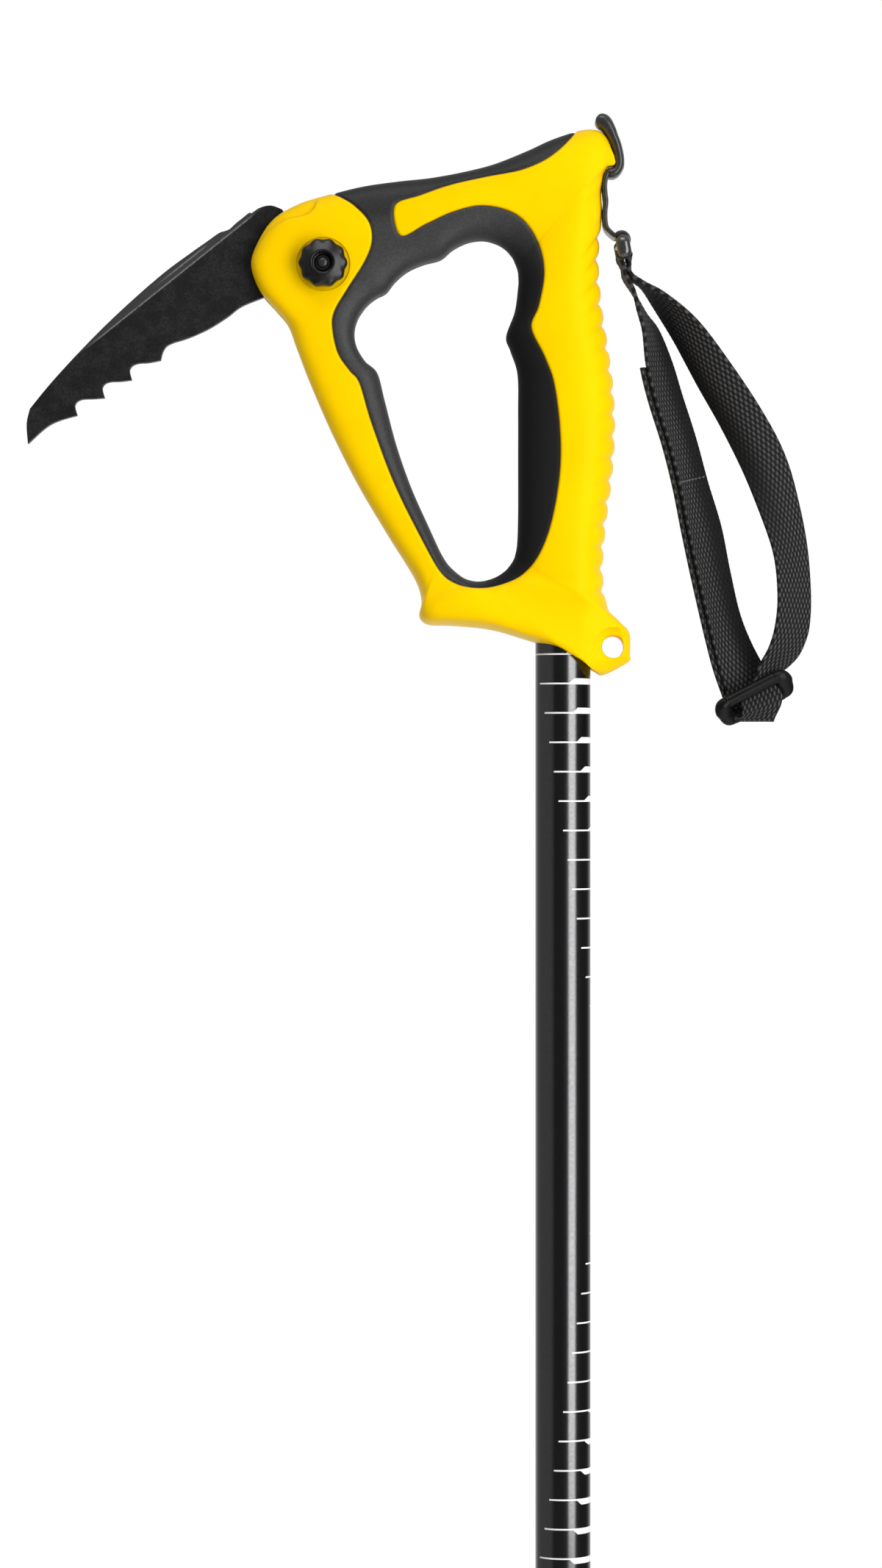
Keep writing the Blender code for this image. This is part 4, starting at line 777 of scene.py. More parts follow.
def rubber_outline():
    """The zone that the rubber covers, seen from the front: a smooth closed curve."""
    return loop_through(mm([
        (-76.5, 72), (-72, 69), (-67.8, 66), (-63.2, 60.8), (-62.2, 54.5), (-64.6, 47.8), (-70, 39.2),
        (-74.4, 31.6), (-75, 26), (-73.2, 18.2), (-69.4, 12.6), (-66.2, 8.6), (-62.4, -4), (-55.4, -22.8),
        (-47.6, -39), (-40.4, -51.8), (-35, -56.4), (-27.2, -57.6), (-19.6, -56.2), (-12.9, -52.8),
        (-8, -46.6), (-4.2, -36.6), (-1.6, -22), (-1.3, -8), (-3.2, 7.6), (-6.4, 16.8), (-10.8, 26.4),
        (-8.4, 33.4), (-6.6, 44), (-8.2, 53), (-12.4, 60.4), (-18.4, 64.4), (-27.2, 65.9), (-36.2, 63.8),
        (-44.6, 60), (-53, 56.2), (-54.9, 66), (-46.5, 69.6), (-36.6, 73.2), (-25, 75.8), (-14.6, 77.6),
        (-7, 80.6), (-2, 84.2), (1.3, 87.6), (3.9, 91.2), (5.6, 95), (10, 105), (-86, 105), (-83, 80)]))


FACET = loop_through(mm([
    (-102.5, 49), (-98.5, 54.5), (-95.9, 57.8), (-92.5, 60.3), (-89, 61.9), (-84.6, 62.7), (-81.8, 64.2),
    (-80.6, 66), (-79.6, 69), (-79, 74), (-104, 74)]))
CREASE = mm([(-48, -63.5), (-45.7, -62), (-38.4, -58.9), (-30, -56.5), (-22, -54.5), (-13, -53.6),
             (-1.5, -55.9), (6.2, -58.2), (13.2, -60.5), (17, -62)])


def handle_rows():
    """Rows of the handle's table, even by their longer side and with slow sections, and their places."""
    table = handle_table()
    dense = np.arange(len(table) * 40 + 1) / 40
    sides = catmull(table, dense, True)[:, :4].reshape(-1, 2, 2)
    steps = np.linalg.norm(np.diff(sides, axis=0), axis=2).max(axis=1)
    travel = np.concatenate([[0], np.cumsum(steps)])
    t = np.interp(np.arange(HANDLE_ROWS) / HANDLE_ROWS * travel[-1], travel, dense)
    rows = catmull(table, t, True)
    blur = np.exp(-np.linspace(-2, 2, 2 * BLUR_ROWS + 1) ** 2)
    wrapped = np.pad(rows[:, 4:], ((BLUR_ROWS, BLUR_ROWS), (0, 0)), mode="wrap")
    rows[:, 4:] = np.stack([np.convolve(w, blur / blur.sum(), "valid") for w in wrapped.T], axis=1)
    return rows, t


def palm_grooves(t, height, inward):
    """Depth of the grooves between the palm's ribs: (1 - |cos|)^1.4 of the height, fading out inwards."""
    phase = (RIB_TOP - FIRST_RIB - height) / GROOVE_PITCH - RIB_LEAN * inward / RIB_PITCH
    palm = smooth_step((t - PALM_ROWS[0] + 0.5) / 0.6) * smooth_step((PALM_ROWS[1] + 1.6 - t) / 1.2)
    reach = np.interp(t, PALM_ROWS, (0.0085, 0.006))
    fade = smooth_step(1 - inward / reach[:, None]) * smooth_step(phase + 0.6) * palm[:, None]
    return RIB_DEPTH * (1 - np.abs(np.cos(math.pi * phase))) ** 1.4 * fade


def hand_rest(points, normal):
    """Height of the rest below the crease along the handle's base, on its two flat sides."""
    x, z = points[..., 0], points[..., 2]
    drop = np.interp(x, *CREASE.T) - z
    ends = smooth_step((x + 0.05) / 0.01) * smooth_step((0.0155 - x) / 0.01)
    low = smooth_step((-0.046 - z) / 0.006) * ends
    flat = smooth_step(1.6 * np.abs(normal[..., 1]) - 0.4)
    return REST_HEIGHT * low * smooth_step((drop + REST_HEIGHT) / 0.005) * flat


def handle_surface():
    """Closed surface of the whole handle before it is cut.

    Rows follow a Catmull-Rom curve through the table. A row is the section from an inner to an outer
    point, at share = 0.5 + 0.5 rho cos a of the way, and at half thickness times rho sin a to the
    side, where rho makes it a superellipse. Palm grooves and the hand rest move it along its normal.
    """
    rows, t = handle_rows()
    outer, inner = rows[:, 0:2], rows[:, 2:4]
    across = outer - inner
    c, s = round_square(directions(HANDLE_COLUMNS, 0.5), rows[:, 6:7])
    share = 0.5 + 0.5 * c
    half = rows[:, 5:6] + (rows[:, 4:5] - rows[:, 5:6]) * share
    flat = inner[:, None] + across[:, None] * share[..., None]
    points = np.stack([flat[..., 0], -half * s, flat[..., 1]], axis=-1)
    ahead, around = [np.roll(points, -1, axis=k) - np.roll(points, 1, axis=k) for k in (0, 1)]
    normal = unit(np.cross(ahead, around))
    normal *= np.sign(((points - np.median(points, axis=1, keepdims=True)) * normal).sum())
    inward = np.linalg.norm(across, axis=1, keepdims=True) * (1 - share)
    move = hand_rest(points, normal) - palm_grooves(t, outer[:, 1:2], inward)
    points += normal * move[..., None]
    quads = grid_faces(HANDLE_ROWS, HANDLE_COLUMNS, True, True)
    return points.reshape(-1, 3), np.vstack([quads[:, [0, 1, 2]], quads[:, [0, 2, 3]]])


def arc(radius, start, end, steps):
    """Points round the pivot from one direction to another, in degrees."""
    return polar(PIVOT, radius, np.linspace(start, end, steps + 1))


def slot_tool():
    """The room that the pick sweeps: hub pocket, stop face, and the slot down the strut."""
    pocket = HUB_RADIUS + FIT
    floor = 0.0008
    reach = PICK_REACH + 0.0016
    x, z = PIVOT
    start = PICK_DROOP + FOLD_ANGLE + math.degrees(math.asin(floor / pocket)) - 360
    stop = math.radians(SHOULDER)
    far = polar(PIVOT, 2 * BOSS_RADIUS, SHOULDER) + (FIT * math.sin(stop), -FIT * math.cos(stop))
    outline = [*arc(pocket, start, SHOULDER - math.degrees(math.asin(FIT / pocket)), 48), far,
               (x - reach, z + reach / 2), (x - reach, z - reach),
               *on_blade([(reach, reach / 3), (reach, -floor)], FOLD_ANGLE)]
    return prism("slot_tool", outline, -SLOT_HALF, SLOT_HALF)


def spool(name, rows, x, z):
    """A tool turned about Y that is the same to the front and the back."""
    rows = np.vstack([rows, (0, rows[-1][1])])
    return facing_front(lathe(name, np.vstack([rows[::-1] * (1, -1), rows]), 72), x, z)


def cut_handle(thing):
    """Takes the pick's slot, the pole's bore, the lanyard eye and the knob's seats out of the handle."""
    walls = bpy.data.materials.new("cut_walls")
    thing.data.materials.append(bpy.data.materials.new("outside"))
    far, end = 0.06, -0.11
    eye = mm([(3.6, 5.8), (4, 6.4), (5.4, 6.7), (6.4, 7.3), (6.8, far / MM)])
    seat = [(0.0028, SEAT), (0.0084, SEAT), (0.0088, SEAT + 0.0002), (0.009, far)]
    bore = lathe("bore_tool", [(0, end), (BORE, end), (BORE, TUBE_TOP + FIT), (0, TUBE_TOP + FIT)], 72)
    for tool in (slot_tool(), bore, spool("eye_tool", eye, *EYE), spool("seat_tool", seat, *PIVOT)):
        tool.data.materials.append(walls)
        tool.data.materials.append(walls)
        tool.data.polygons.foreach_set("material_index", np.ones(len(tool.data.polygons), np.int32))
        thing.data.materials.append(walls)
        boolean(thing, tool)
    return thing


def nose_lip():
    """The ledge under the nose that the strap's cap hooks below."""
    rows = [(2, 85.6), (6, 85.8), (7.3, 82.8), (7.7, 80.8), (7.4, 79.9), (4.6, 79.5), (2, 79.5)]
    return bevel(prism("nose_lip", back(rows), -0.0054, 0.0054), 0.0004, 3)


def read_triangles(thing):
    """Vertices, triangles, and whether each triangle is a cut wall."""
    mesh = thing.data
    mesh.calc_loop_triangles()
    return (read(mesh.vertices, "co", 3).astype(float), read(mesh.loop_triangles, "vertices", 3, np.int32),
            read(mesh.loop_triangles, "material_index", 1, np.int32) > 0)


def sheet_of(points, normal, faces, thickness):
    """A skin made a closed sheet: its faces again, turned over below it, and a rim along its open edges."""
    count = len(points)
    sides = np.concatenate([faces[:, [0, 1]], faces[:, [1, 2]], faces[:, [2, 0]]])
    _, where, number = np.unique(np.sort(sides, axis=1), axis=0, return_index=True, return_counts=True)
    a, b = sides[where[number == 1]].T
    rim = np.concatenate([np.stack([b, a, a + count], 1), np.stack([b, a + count, b + count], 1)])
    return np.vstack([points, points - normal * thickness]), np.vstack([faces, faces[:, ::-1] + count, rim])


FACET_LEVELS = mm([-0.8, -0.3, 0.0, 0.2])
FACET_DEPTH = 0.0012
FACET_SHADE = 0.00022            # stands for this distance from the rubber, on the facet's bend, where the yellow's painted shade line runs
SEAM_LEVELS = mm([-1.6, -1.0, -0.6, -0.3, 0.0, 0.3, 0.6, 1.0, 1.6])
EDGE_SINK = 0.00055              # of the yellow along the rubber's edge
EDGE_FADE = 0.00042
BED_SINK = 0.0011                # of the yellow below that, under the rubber
BED_SLOPE = 0.0006
SKIN_SINK = 0.00015              # of the rubber below the whole handle's surface
ROLL_SINK = 0.0004               # of the rubber's edge below that
ROLL_FADE = 0.00045
RUBBER_THICKNESS = 0.001


def make_handle():
    """Yellow body with a sunk bed under the rubber, and the rubber with rolled edges.

    A row of the split surface holds a place and its normal, so that thin slivers don't turn the normal.
    The facet sinks by a smooth step across its bend. Near the seam, at distance d outside the rubber,
    the yellow sinks by exp(-(d / fade)^2), and by a smooth step more inside it.
    """
    body = clean(add_mesh("handle_body", *handle_surface()))
    boolean(body, nose_lip(), "UNION")
    vertices, triangles, wall = read_triangles(cut_handle(body))
    bpy.data.objects.remove(body)
    surface = np.hstack([vertices, vertex_normals(vertices, triangles)])
    facet = signed_distance(surface, FACET)
    for level in FACET_LEVELS:
        surface, triangles, wall, facet = split(surface, triangles, wall, facet, level)
    facet = signed_distance(surface, FACET)
    step = smooth_step((FACET_LEVELS[-1] - facet) / (FACET_LEVELS[-1] - FACET_LEVELS[0]))
    surface[:, :3] -= surface[:, 3:] * (FACET_DEPTH * step * surface[:, 4] ** 2)[:, None]
    outline = rubber_outline()
    seam = signed_distance(surface, outline)
    seam[np.setdiff1d(triangles[wall], triangles[~wall])] = 2 * SEAM_LEVELS[-1]
    for level in SEAM_LEVELS:
        surface, triangles, wall, seam = split(surface, triangles, wall, seam, level)
    covered = (seam[triangles].mean(axis=1) < 0) & ~wall
    seam = np.where(seam > SEAM_LEVELS[-1] + 0.1 * MM, seam, signed_distance(surface, outline))
    vertices, normal = surface[:, :3], unit(surface[:, 3:])
    sink = EDGE_SINK * np.exp(-(np.clip(seam, 0, None) / EDGE_FADE) ** 2)
    sink += BED_SINK * smooth_step(-seam / BED_SLOPE)
    shell = add_mesh("yellow_shell", vertices - normal * sink[:, None], triangles)
    # Distance that draws the yellow's painted shade: a thin dark line along the rubber's edge, and along the
    # facet's bend on the front and back faces.
    bend = np.abs(signed_distance(vertices, FACET)) + FACET_SHADE + 2 * MM * (1 - normal[:, 1] ** 2)
    mark(shell, "seam", "POINT", np.clip(np.minimum(seam, bend), 0, None) / MM)
    place_piece(clean(shell), "handle", "yellow_shell", YELLOW, "grip_body", angle=34)

    used, faces = np.unique(triangles[covered], return_inverse=True)
    roll = SKIN_SINK + ROLL_SINK * np.exp(-(seam[used] / ROLL_FADE) ** 2)
    skin = vertices[used] - normal[used] * roll[:, None]
    rubber = add_mesh("grip_rubber_skin", *sheet_of(skin, normal[used], faces.reshape(-1, 3), RUBBER_THICKNESS))
    place_piece(clean(rubber), "handle", "grip_rubber", RUBBER, "grip_overmould", angle=34)


make_handle()


# Pick and its pivot

def pick_outline():
    """Tip, back, hump and stop shoulder, hub, belly, and a row of teeth, as a fine line."""
    reach, hub = PICK_REACH / MM, HUB_RADIUS / MM
    blunt = (reach - 6.4, 9.4)
    nose = [(reach, 0), (reach - 3, 5.8), blunt]
    spine = [blunt, (0.827 * reach, 14), (0.631 * reach, 20.2), (0.427 * reach, 24.9), (34.8, 26.3),
             (29.1, 26.7), (23.8, 27.1), (21.9, 26.7), (20, 26.4), (17.8, 26.9), (15, 27.3), (11.9, 27.7),
             (11.2, 27.2), (8, 27.3), (4.5, 26), (2.1, 23.1)]
    teeth = [(61.3, 1.2), (72.7, 0.5), (83.3, 0), (93.9, -0.3)]
    belly = [(hub, 0), (hub + 4, 0.4), (21.6, 1.6), (29.6, 2.8), (35.2, 2.2), (42, 2), (47.5, 2.5),
             (51.5, 3.2), (54.6, 4), (57.2, 4.2), (59, 3.4), (60.2, 2.4), teeth[0]]
    gullet = [(0.68, 2), (0.42, 3.5), (0.24, 3.9), (0.12, 3.4), (0.06, 2.4)]
    run = [teeth[-1], (reach - 12.4, 1.3), (reach - 7.4, 1.5), (reach, 0)]
    back_line = [catmull(nose, np.linspace(0, 2, 9))[:-1], catmull(spine, np.linspace(0, len(spine) - 1, 106))]
    low_line = [catmull(belly, np.linspace(0.2, len(belly) - 1, 65))]
    for before, tooth in zip(teeth, teeth[1:]):
        pitch = tooth[0] - before[0]
        curve = [before] + [(tooth[0] - k * pitch, tooth[1] + rise) for k, rise in gullet] + [tooth]
        low_line.append(catmull(curve, np.linspace(0, len(curve) - 1, 31)[1:]))
    low_line.append(catmull(run, np.linspace(0.3, 2.7, 13)))
    round_hub = arc(HUB_RADIUS, SHOULDER, PICK_DROOP - 360, 64)
    return np.vstack([on_blade(np.vstack(back_line) * MM), round_hub, on_blade(np.vstack(low_line) * MM)])


def wedge(side, line, slope, run_on=0.02, rise=0.012):
    """A tool that grinds a face away beyond a line on the blade, falling by a slope."""
    start, end = on_blade(line)
    run = unit(end - start)
    up = np.array([run[1], -run[0]])
    face, lift = side * PICK_HALF, side * (PICK_HALF + 0.002)
    rings = []
    for foot in (start - run * run_on, end + run * run_on):
        top, low = foot + up * rise, foot - up * FIT
        rings.append([(foot[0], face, foot[1]), (low[0], lift, low[1]), (top[0], lift, top[1]),
                      (top[0], face - side * slope * rise, top[1])])
    faces = [(0, 1, 5, 4), (1, 2, 6, 5), (2, 3, 7, 6), (3, 0, 4, 7), (0, 1, 2, 3), (4, 5, 6, 7)]
    return clean(add_mesh("wedge", rings, faces))


def make_pick():
    """The blade with its ground back, its pivot hole and softened edges.

    Faces that lean out of the blade's plane are marked: narrow ones as edges, the others as ground.
    """
    pick = prism("pick_blade", pick_outline(), -PICK_HALF, PICK_HALF)
    for side in (-1, 1):
        boolean(pick, wedge(side, GRIND_LINE, 0.32))
        boolean(pick, wedge(side, FACET_LINE, 0.9, 0.0))
    hole = lathe("hole_tool", [(0, -1), (0.0028, -1), (0.0028, 1), (0, 1)], 48)
    boolean(pick, facing_front(hole, *PIVOT))
    clean(pick, 2e-6)
    bevel(pick, 0.00022, 2, 24)
    faces = pick.data.polygons
    tilt = np.abs(read(faces, "normal", 3)[:, 1])
    leaning = tilt < 0.985
    edge = (tilt > 0.15) & leaning & (read(faces, "area") < 6e-7)
    mark(pick, "ground", "FACE", (tilt > 0.55) & leaning & ~edge)
    mark(pick, "edge", "FACE", edge)
    place_piece(pick, "pick", "pick_steel", PICK_BLACK, "pick", angle=14)


make_pick()

KNOB_RIM = 0.0077
KNOB_FOOT = SEAT + FIT
KNOB_TOP = KNOB_FOOT + 0.0078
BOLT_ROOM = 0.0028               # radius of the knob's and insert's bore
INSERT = (0.0043, 0.0038)        # radius and height of the brass


def make_knob():
    """A lobed knob with a coned top, its brass insert, and the bolt whose button shows in it."""
    rim, foot, top = KNOB_RIM, KNOB_FOOT, KNOB_TOP
    floor = top - 0.0026
    pocket, roof = INSERT[0] + FIT, foot + INSERT[1] + 2 * FIT
    rows = [(pocket, foot), (0.84 * rim, foot), (0.87 * rim, foot + 0.0012), (rim, foot + 0.002),
            (rim, top - 0.0024), (0.95 * rim, top - 0.0017), (0.84 * rim, top - 0.0012),
            (0.62 * rim, top - 0.0004), (0.0037, top), (0.0033, top - 0.0004), (0.0033, floor),
            (BOLT_ROOM, floor), (BOLT_ROOM, roof), (pocket, roof)]
    profile = fillet(rows, 0.0006, 4, True)
    outside = smooth_step((profile[:, 0] - 0.78 * rim) / (0.12 * rim))
    wave = 0.00027 * outside * smooth_step((profile[:, 1] - foot - 0.001) / 0.0012)
    knob = lathe("lobed_knob", profile, 160, True, 10, wave)
    place_piece(facing_front(knob, *PIVOT), "knob", "black_plastic", KNOB_BLACK, "clamp_knob", angle=50)

    radius, low, high = INSERT[0], foot + FIT, foot + FIT + INSERT[1]
    rows = [(BOLT_ROOM, low), (radius, low), (radius, high), (BOLT_ROOM, high)]
    insert = turned("threaded_insert", rows, 0.0002, 2, 64, True)
    place_piece(facing_front(insert, *PIVOT), "knob", "insert_brass", BRASS, "knob_insert")

    head, shank, button = 0.0065, 0.0025, 0.0017
    crown = floor + 0.0016
    rows = [(0, -foot - 0.003), (0.5 * head, -foot - 0.0028), (0.85 * head, -foot - 0.002),
            (head, -foot - 0.0007), (head, -foot), (shank, -foot), (shank, floor - FIT),
            (button, floor - FIT), (button, crown - 0.0006), (0.6 * button, crown - 0.0001), (0, crown)]
    bolt = facing_front(turned("pivot_bolt_turned", rows, 0.0004, 3, 72), *PIVOT)
    socket = polar(PIVOT, 0.0023, np.arange(6) * 60 + 30)
    boolean(bolt, prism("socket", socket, foot + 0.0012, foot + 0.02))
    place_piece(bolt, "handle", "hardware_steel", DARK_STEEL, "pivot_bolt", angle=30)


make_knob()


# Wrist strap

ACROSS = np.array([0, 1.0, 0])
CAP_HALF = 0.0052
CAP_POINTS = 96
TETHER_WALL = 0.0044
LINK_WIRE = 0.00105              # half of the wire's thickness


def lay_strip(name, route, number, section):
    """A strip that lies across a line in the plane of X and Z; its sections are (across, out) offsets."""
    line, _ = even(in_plane(route), number)
    ahead = unit(np.gradient(line, axis=0))
    out = np.stack([-ahead[:, 2], 0 * ahead[:, 0], ahead[:, 0]], axis=1)
    return sweep(name, line, np.broadcast_to(ACROSS, line.shape), out, section)


def make_cap():
    """A moulded strip over the rear of the nose, thick at its top, that hooks under the nose's lip.

    An oval section follows the middle line, with half thickness t(s), and closes at both rounded ends.
    """
    middle = back([(1.4, 95.5), (4.1, 94.1), (5.9, 91.7), (7.2, 89), (8.3, 86), (9.1, 82.2), (8.9, 79.4),
                   (7, 77.6), (4.4, 77.9)])
    s = np.linspace(-1, 1, CAP_POINTS)
    ends = np.sqrt(np.clip(1 - np.abs(s) ** 14, 0.002, 1))
    thick = np.interp(s, (-1, -0.79, -0.56, -0.31, 0, 0.58, 0.82, 1),
                      mm([2.6, 2.8, 2.3, 1.85, 1.75, 1.55, 1.9, 1.9])) * ends
    wide = CAP_HALF * (0.6 + 0.4 * ends)
    section = oval(1.0, 1.0, 2.7, 44) * np.stack([wide, thick], axis=1)[:, None]
    cap = lay_strip("nose_cap", middle, CAP_POINTS, section)
    place_piece(cap, "handle", "black_plastic", MOULDED, "strap_cap", angle=60)


def make_tether():
    """A moulded strip down the palm side, rolled round the link's upper bar."""
    down = back([(0.6, 77.3), (0, 75.2), (-0.2, 72.9), (0, 70.2), (0.2, 68), (-0.1, 64.5), (0, 61.5),
                 (0.5, 59.5), (1.9, 57.9)]) + (TETHER_WALL, 0)
    roll = polar(LINK_TOP[[0, 2]], 0.0022, np.linspace(150, -130, 15))
    tether = lay_strip("moulded_tether", np.vstack([down, roll]), 130, oval(0.006, 0.0009, 4.0, 40))
    place_piece(tether, "handle", "black_plastic", MOULDED, "strap_tether", angle=60)


def oblong(half_long, half_high, rounding, steps, number):
    """Even places round an oblong with round corners."""
    corners = np.array([(-1, -1), (1, -1), (1, 1), (-1, 1)]) * (half_long, half_high)
    return even(fillet(corners, rounding, steps, True), number, True)[0]


def bent_ring(name, line, section, centre, along, over):
    """A bar bent round a flat line in the plane of two directions; its sections are (out, ahead) offsets."""
    ahead = unit(np.roll(line, -1, axis=0) - np.roll(line, 1, axis=0))
    spots = centre + line[:, :1] * along + line[:, 1:] * over
    out = ahead[:, 1:] * along - ahead[:, :1] * over
    return sweep(name, spots, out, np.broadcast_to(np.cross(along, over), out.shape), section, True)


def make_link():
    """A bent wire ring whose two long bars lie across the strap, with broad legs."""
    line = oblong(0.00935, LINK_PITCH / 2, 0.0022, 10, 120)
    leg = smooth_step((np.abs(line[:, 0]) - 0.0078) / 0.0012)[:, None, None]
    section = oval(LINK_WIRE, LINK_WIRE, 2.2, 24) * (1 + leg * np.array([0.7, 1.15]))
    link = bent_ring("wire_link", line, section, (LINK_TOP + LINK_LOW) / 2, ACROSS, LINK_HANG)
    place_piece(link, "strap", "link_steel", LINK_BLACK, "strap_link", angle=60)


SLIDER_CENTRE = np.array([0.0627, -0.0004, -0.0936])
SLIDER_TILT = math.radians(27)
SLIDER_LEAN = math.radians(35)
SLIDER_BAR = 0.0037              # from the slider's middle to the middle of a bar
BARS = np.array([math.cos(SLIDER_TILT), 0, math.sin(SLIDER_TILT)])
SLOPE = np.array([-math.sin(SLIDER_TILT), 0, math.cos(SLIDER_TILT)])
SLIDER_OVER = SLOPE * math.cos(SLIDER_LEAN) - ACROSS * math.sin(SLIDER_LEAN)
SLIDER_OUT = np.cross(BARS, SLIDER_OVER)


def make_slider():
    """A rounded bar bent to an oblong ring that the strap threads through, broader at its ends and top."""
    line = oblong(0.011, SLIDER_BAR, 0.0034, 12, 160)
    end = smooth_step((np.abs(line[:, 0]) - 0.0086) / 0.002)[:, None, None]
    broad = smooth_step((line[:, 1] + 0.001) / 0.002)[:, None, None]
    section = oval(0.0016, 0.0016, 2.2, 28) * (1 + end * np.array([0.5, 0.2]) + broad * np.array([0.3, 0.1]))
    slider = bent_ring("strap_ladder", line, section, SLIDER_CENTRE, BARS, SLIDER_OVER)
    place_piece(slider, "strap", "black_plastic", MATTE, "strap_slider", angle=60)


# Rows of webbing between the link and the slider: place in millimetres, width direction, then the depth
# of the hollow in millimetres and the share of the width, where they aren't 0 and 1
WEB_DOWN = [
    (23, 0, 39.2, 0.04, 1, 0), (25.8, 0.4, 32.5, 0.2, 0.98, 0), (28.8, 1, 26.2, 0.36, 0.93, 0.1, 0.3),
    (31.6, 1.8, 15.6, 0.58, 0.8, 0.1, 0.7), (34.6, 2.6, 4.8, 0.62, 0.77, 0.15, 0.9),
    (39.2, 3.4, -9.6, 0.62, 0.77, 0.18, 1.1), (43, 4.2, -24, 0.64, 0.75, 0.18, 1.3),
    (46.6, 4.8, -38.4, 0.74, 0.65, 0.18, 1.5), (49.6, 5.2, -52.8, 0.72, 0.66, 0.2, 1.6),
    (52.9, 5.4, -67.2, 0.72, 0.66, 0.22, 1.5), (56.2, 4.8, -78, 0.82, 0.52, 0.3, 0.9),
    (59.8, 4.6, -87.2, 0.9, 0.2, 0.42), (61.2, 5, -91.2, 0.92, 0, 0.4), (62.2, 6.2, -95, 0.95, 0, 0.3),
    (62.4, 7, -98.2, 0.98, 0, 0.15), (61.9, 5.8, -100.2, 1, 0, 0.04), (61.8, 3.4, -100.6, 1, 0, 0),
    (62.1, 0.8, -99.7, 1, 0, 0.06)]
WEB_UP = [
    (68, 0.4, -85.6, 0.86, 0.3, 0.38, 0.1, 0.9), (70.4, 0.6, -81.5, 0.85, 0.45, 0.2, 0.2),
    (73.1, 0.4, -76.4, 0.8, 0.58, 0.1, 0.3), (74.9, 0, -70, 0.77, 0.63, 0, 0.3),
    (75.5, -0.6, -60, 0.75, 0.66, 0, 0.3), (74.2, -1.4, -45.6, 0.76, 0.62, 0.2, 0.5),
    (70.5, -1.8, -31.2, 0.84, 0.4, 0.36, 0.8), (65.4, -2.2, -16.8, 0.9, 0, 0.44, 1.5),
    (58, -2.2, -2.4, 0.82, -0.36, 0.44, 1.9), (49.2, -1.8, 12, 0.68, -0.58, 0.45, 1.9),
    (40, -1, 26.4, 0.46, -0.8, 0.38, 1.2), (31.6, -0.2, 36.2, 0.2, -0.96, 0.2, 0.3),
    (26.2, 0, 41.2, 0.03, -1, 0)]
SECOND_LAYER = slice(9, 21)      # rows of the left leg that the second layer follows


def strap_route():
    """Rows of the webbing from its end on the link, down, round the slider's low bar, and up to the link.

    Each row is a place, a width direction, the depth of the webbing's hollow, and its share of the width.
    """
    sideways = np.array([-LINK_HANG[2], 0, LINK_HANG[0]])
    aside = sideways * (WEB_THICKNESS / 2 + FIT)
    clear = 0.0015 + WEB_THICKNESS / 2 + FIT
    thread = SLIDER_BAR - 0.0006
    ring = LINK_WIRE + WEB_THICKNESS / 2 + 0.0002

    def row(place, width, *rest):
        """A row by its place in metres."""
        return (*(place / MM), *width, *rest)

    def round_link(degrees):
        """Places round the link's lower bar."""
        turn = np.radians(degrees)[:, None]
        return LINK_LOW + ring * (sideways * np.cos(turn) - LINK_HANG * np.sin(turn))

    def on_slider(along, up, ahead):
        """A place along the slider's bars, up across them, and ahead of its face."""
        return SLIDER_CENTRE + BARS * along + SLIDER_OVER * up + SLIDER_OUT * ahead

    neck = [LINK_LOW + LINK_HANG * drop for drop in (0.003, 0.0062)]
    first = [*round_link((48, 80, 112, 146, 180)), neck[0] - aside, neck[1] - aside]
    last = [neck[1] + aside, neck[0] + aside, *round_link((0, 24))]
    rows = [*[row(place, ACROSS) for place in first], *WEB_DOWN,
            row(on_slider(0.0004, -thread, clear), (0.93, 0, 0.36), 0, 0.96),
            row(on_slider(0.0022, 0, 0), BARS, 0, 0.95),
            row(on_slider(0.0034, thread, -clear), BARS, 0, 0.85),
            *WEB_UP, *[row(place, -ACROSS) for place in last]]
    usual = (0, 1)
    table = np.array([(*r, *usual[len(r) - 6:]) for r in rows])
    return table * (MM, MM, MM, 1, 1, 1, MM, 1)


def ribbon_axes(line):
    """Unit directions across a ribbon and out of its face."""
    wide = unit(line[:, 3:6])
    return wide, unit(np.cross(np.gradient(line[:, :3], axis=0), wide))


def webbing(name, line, length):
    """A woven ribbon along rows of (place, width direction, hollow, share of the width).

    The section is flat with round edges, and hollow by h * (1 - (2 v / w)^2). Cross yarns lift it by
    cos(2 pi u / P), where u runs along the ribbon and v across it.
    """
    wide, face = ribbon_axes(line)
    width, half = WEB_WIDTH, WEB_THICKNESS / 2
    v = np.linspace(-0.5, 0.5, 41) * (width - 2 * half)
    turn = np.radians([60, 30, 0, -30, -60])
    across = np.concatenate([v, v[-1] + half * np.cos(turn), v[::-1], v[0] - half * np.cos(turn)])
    rise = half * np.concatenate([np.ones(len(v)), np.sin(turn), -np.ones(len(v)), -np.sin(turn)])
    u = np.linspace(0, length, len(line))
    crown = np.cos(2 * math.pi * u / WEAVE_ROWS)[:, None]
    edge = np.exp(-((width / 2 - np.abs(across)) / 0.0009) ** 2)
    lift = 0.00006 * crown * (1 - 0.5 * edge) + 0.00012 * edge
    height = rise + np.sign(rise) * lift - line[:, 6:7] * (1 - (2 * across / width) ** 2)
    place = across * line[:, 7:8]
    points = line[:, None, :3] + place[..., None] * wide[:, None] + height[..., None] * face[:, None]
    thing = add_mesh(name, points, grid_faces(len(line), len(across), False, True))
    spread = np.stack(np.meshgrid(u, np.append(across, across[0]), indexing="ij"), axis=-1)
    corners = [spread[:-1, :-1], spread[:-1, 1:], spread[1:, 1:], spread[1:, :-1]]
    layer = thing.data.uv_layers.new(name="weave")
    layer.data.foreach_set("uv", np.stack(corners, axis=2).astype(np.float32).ravel())
    return clean(thing, fill=True)


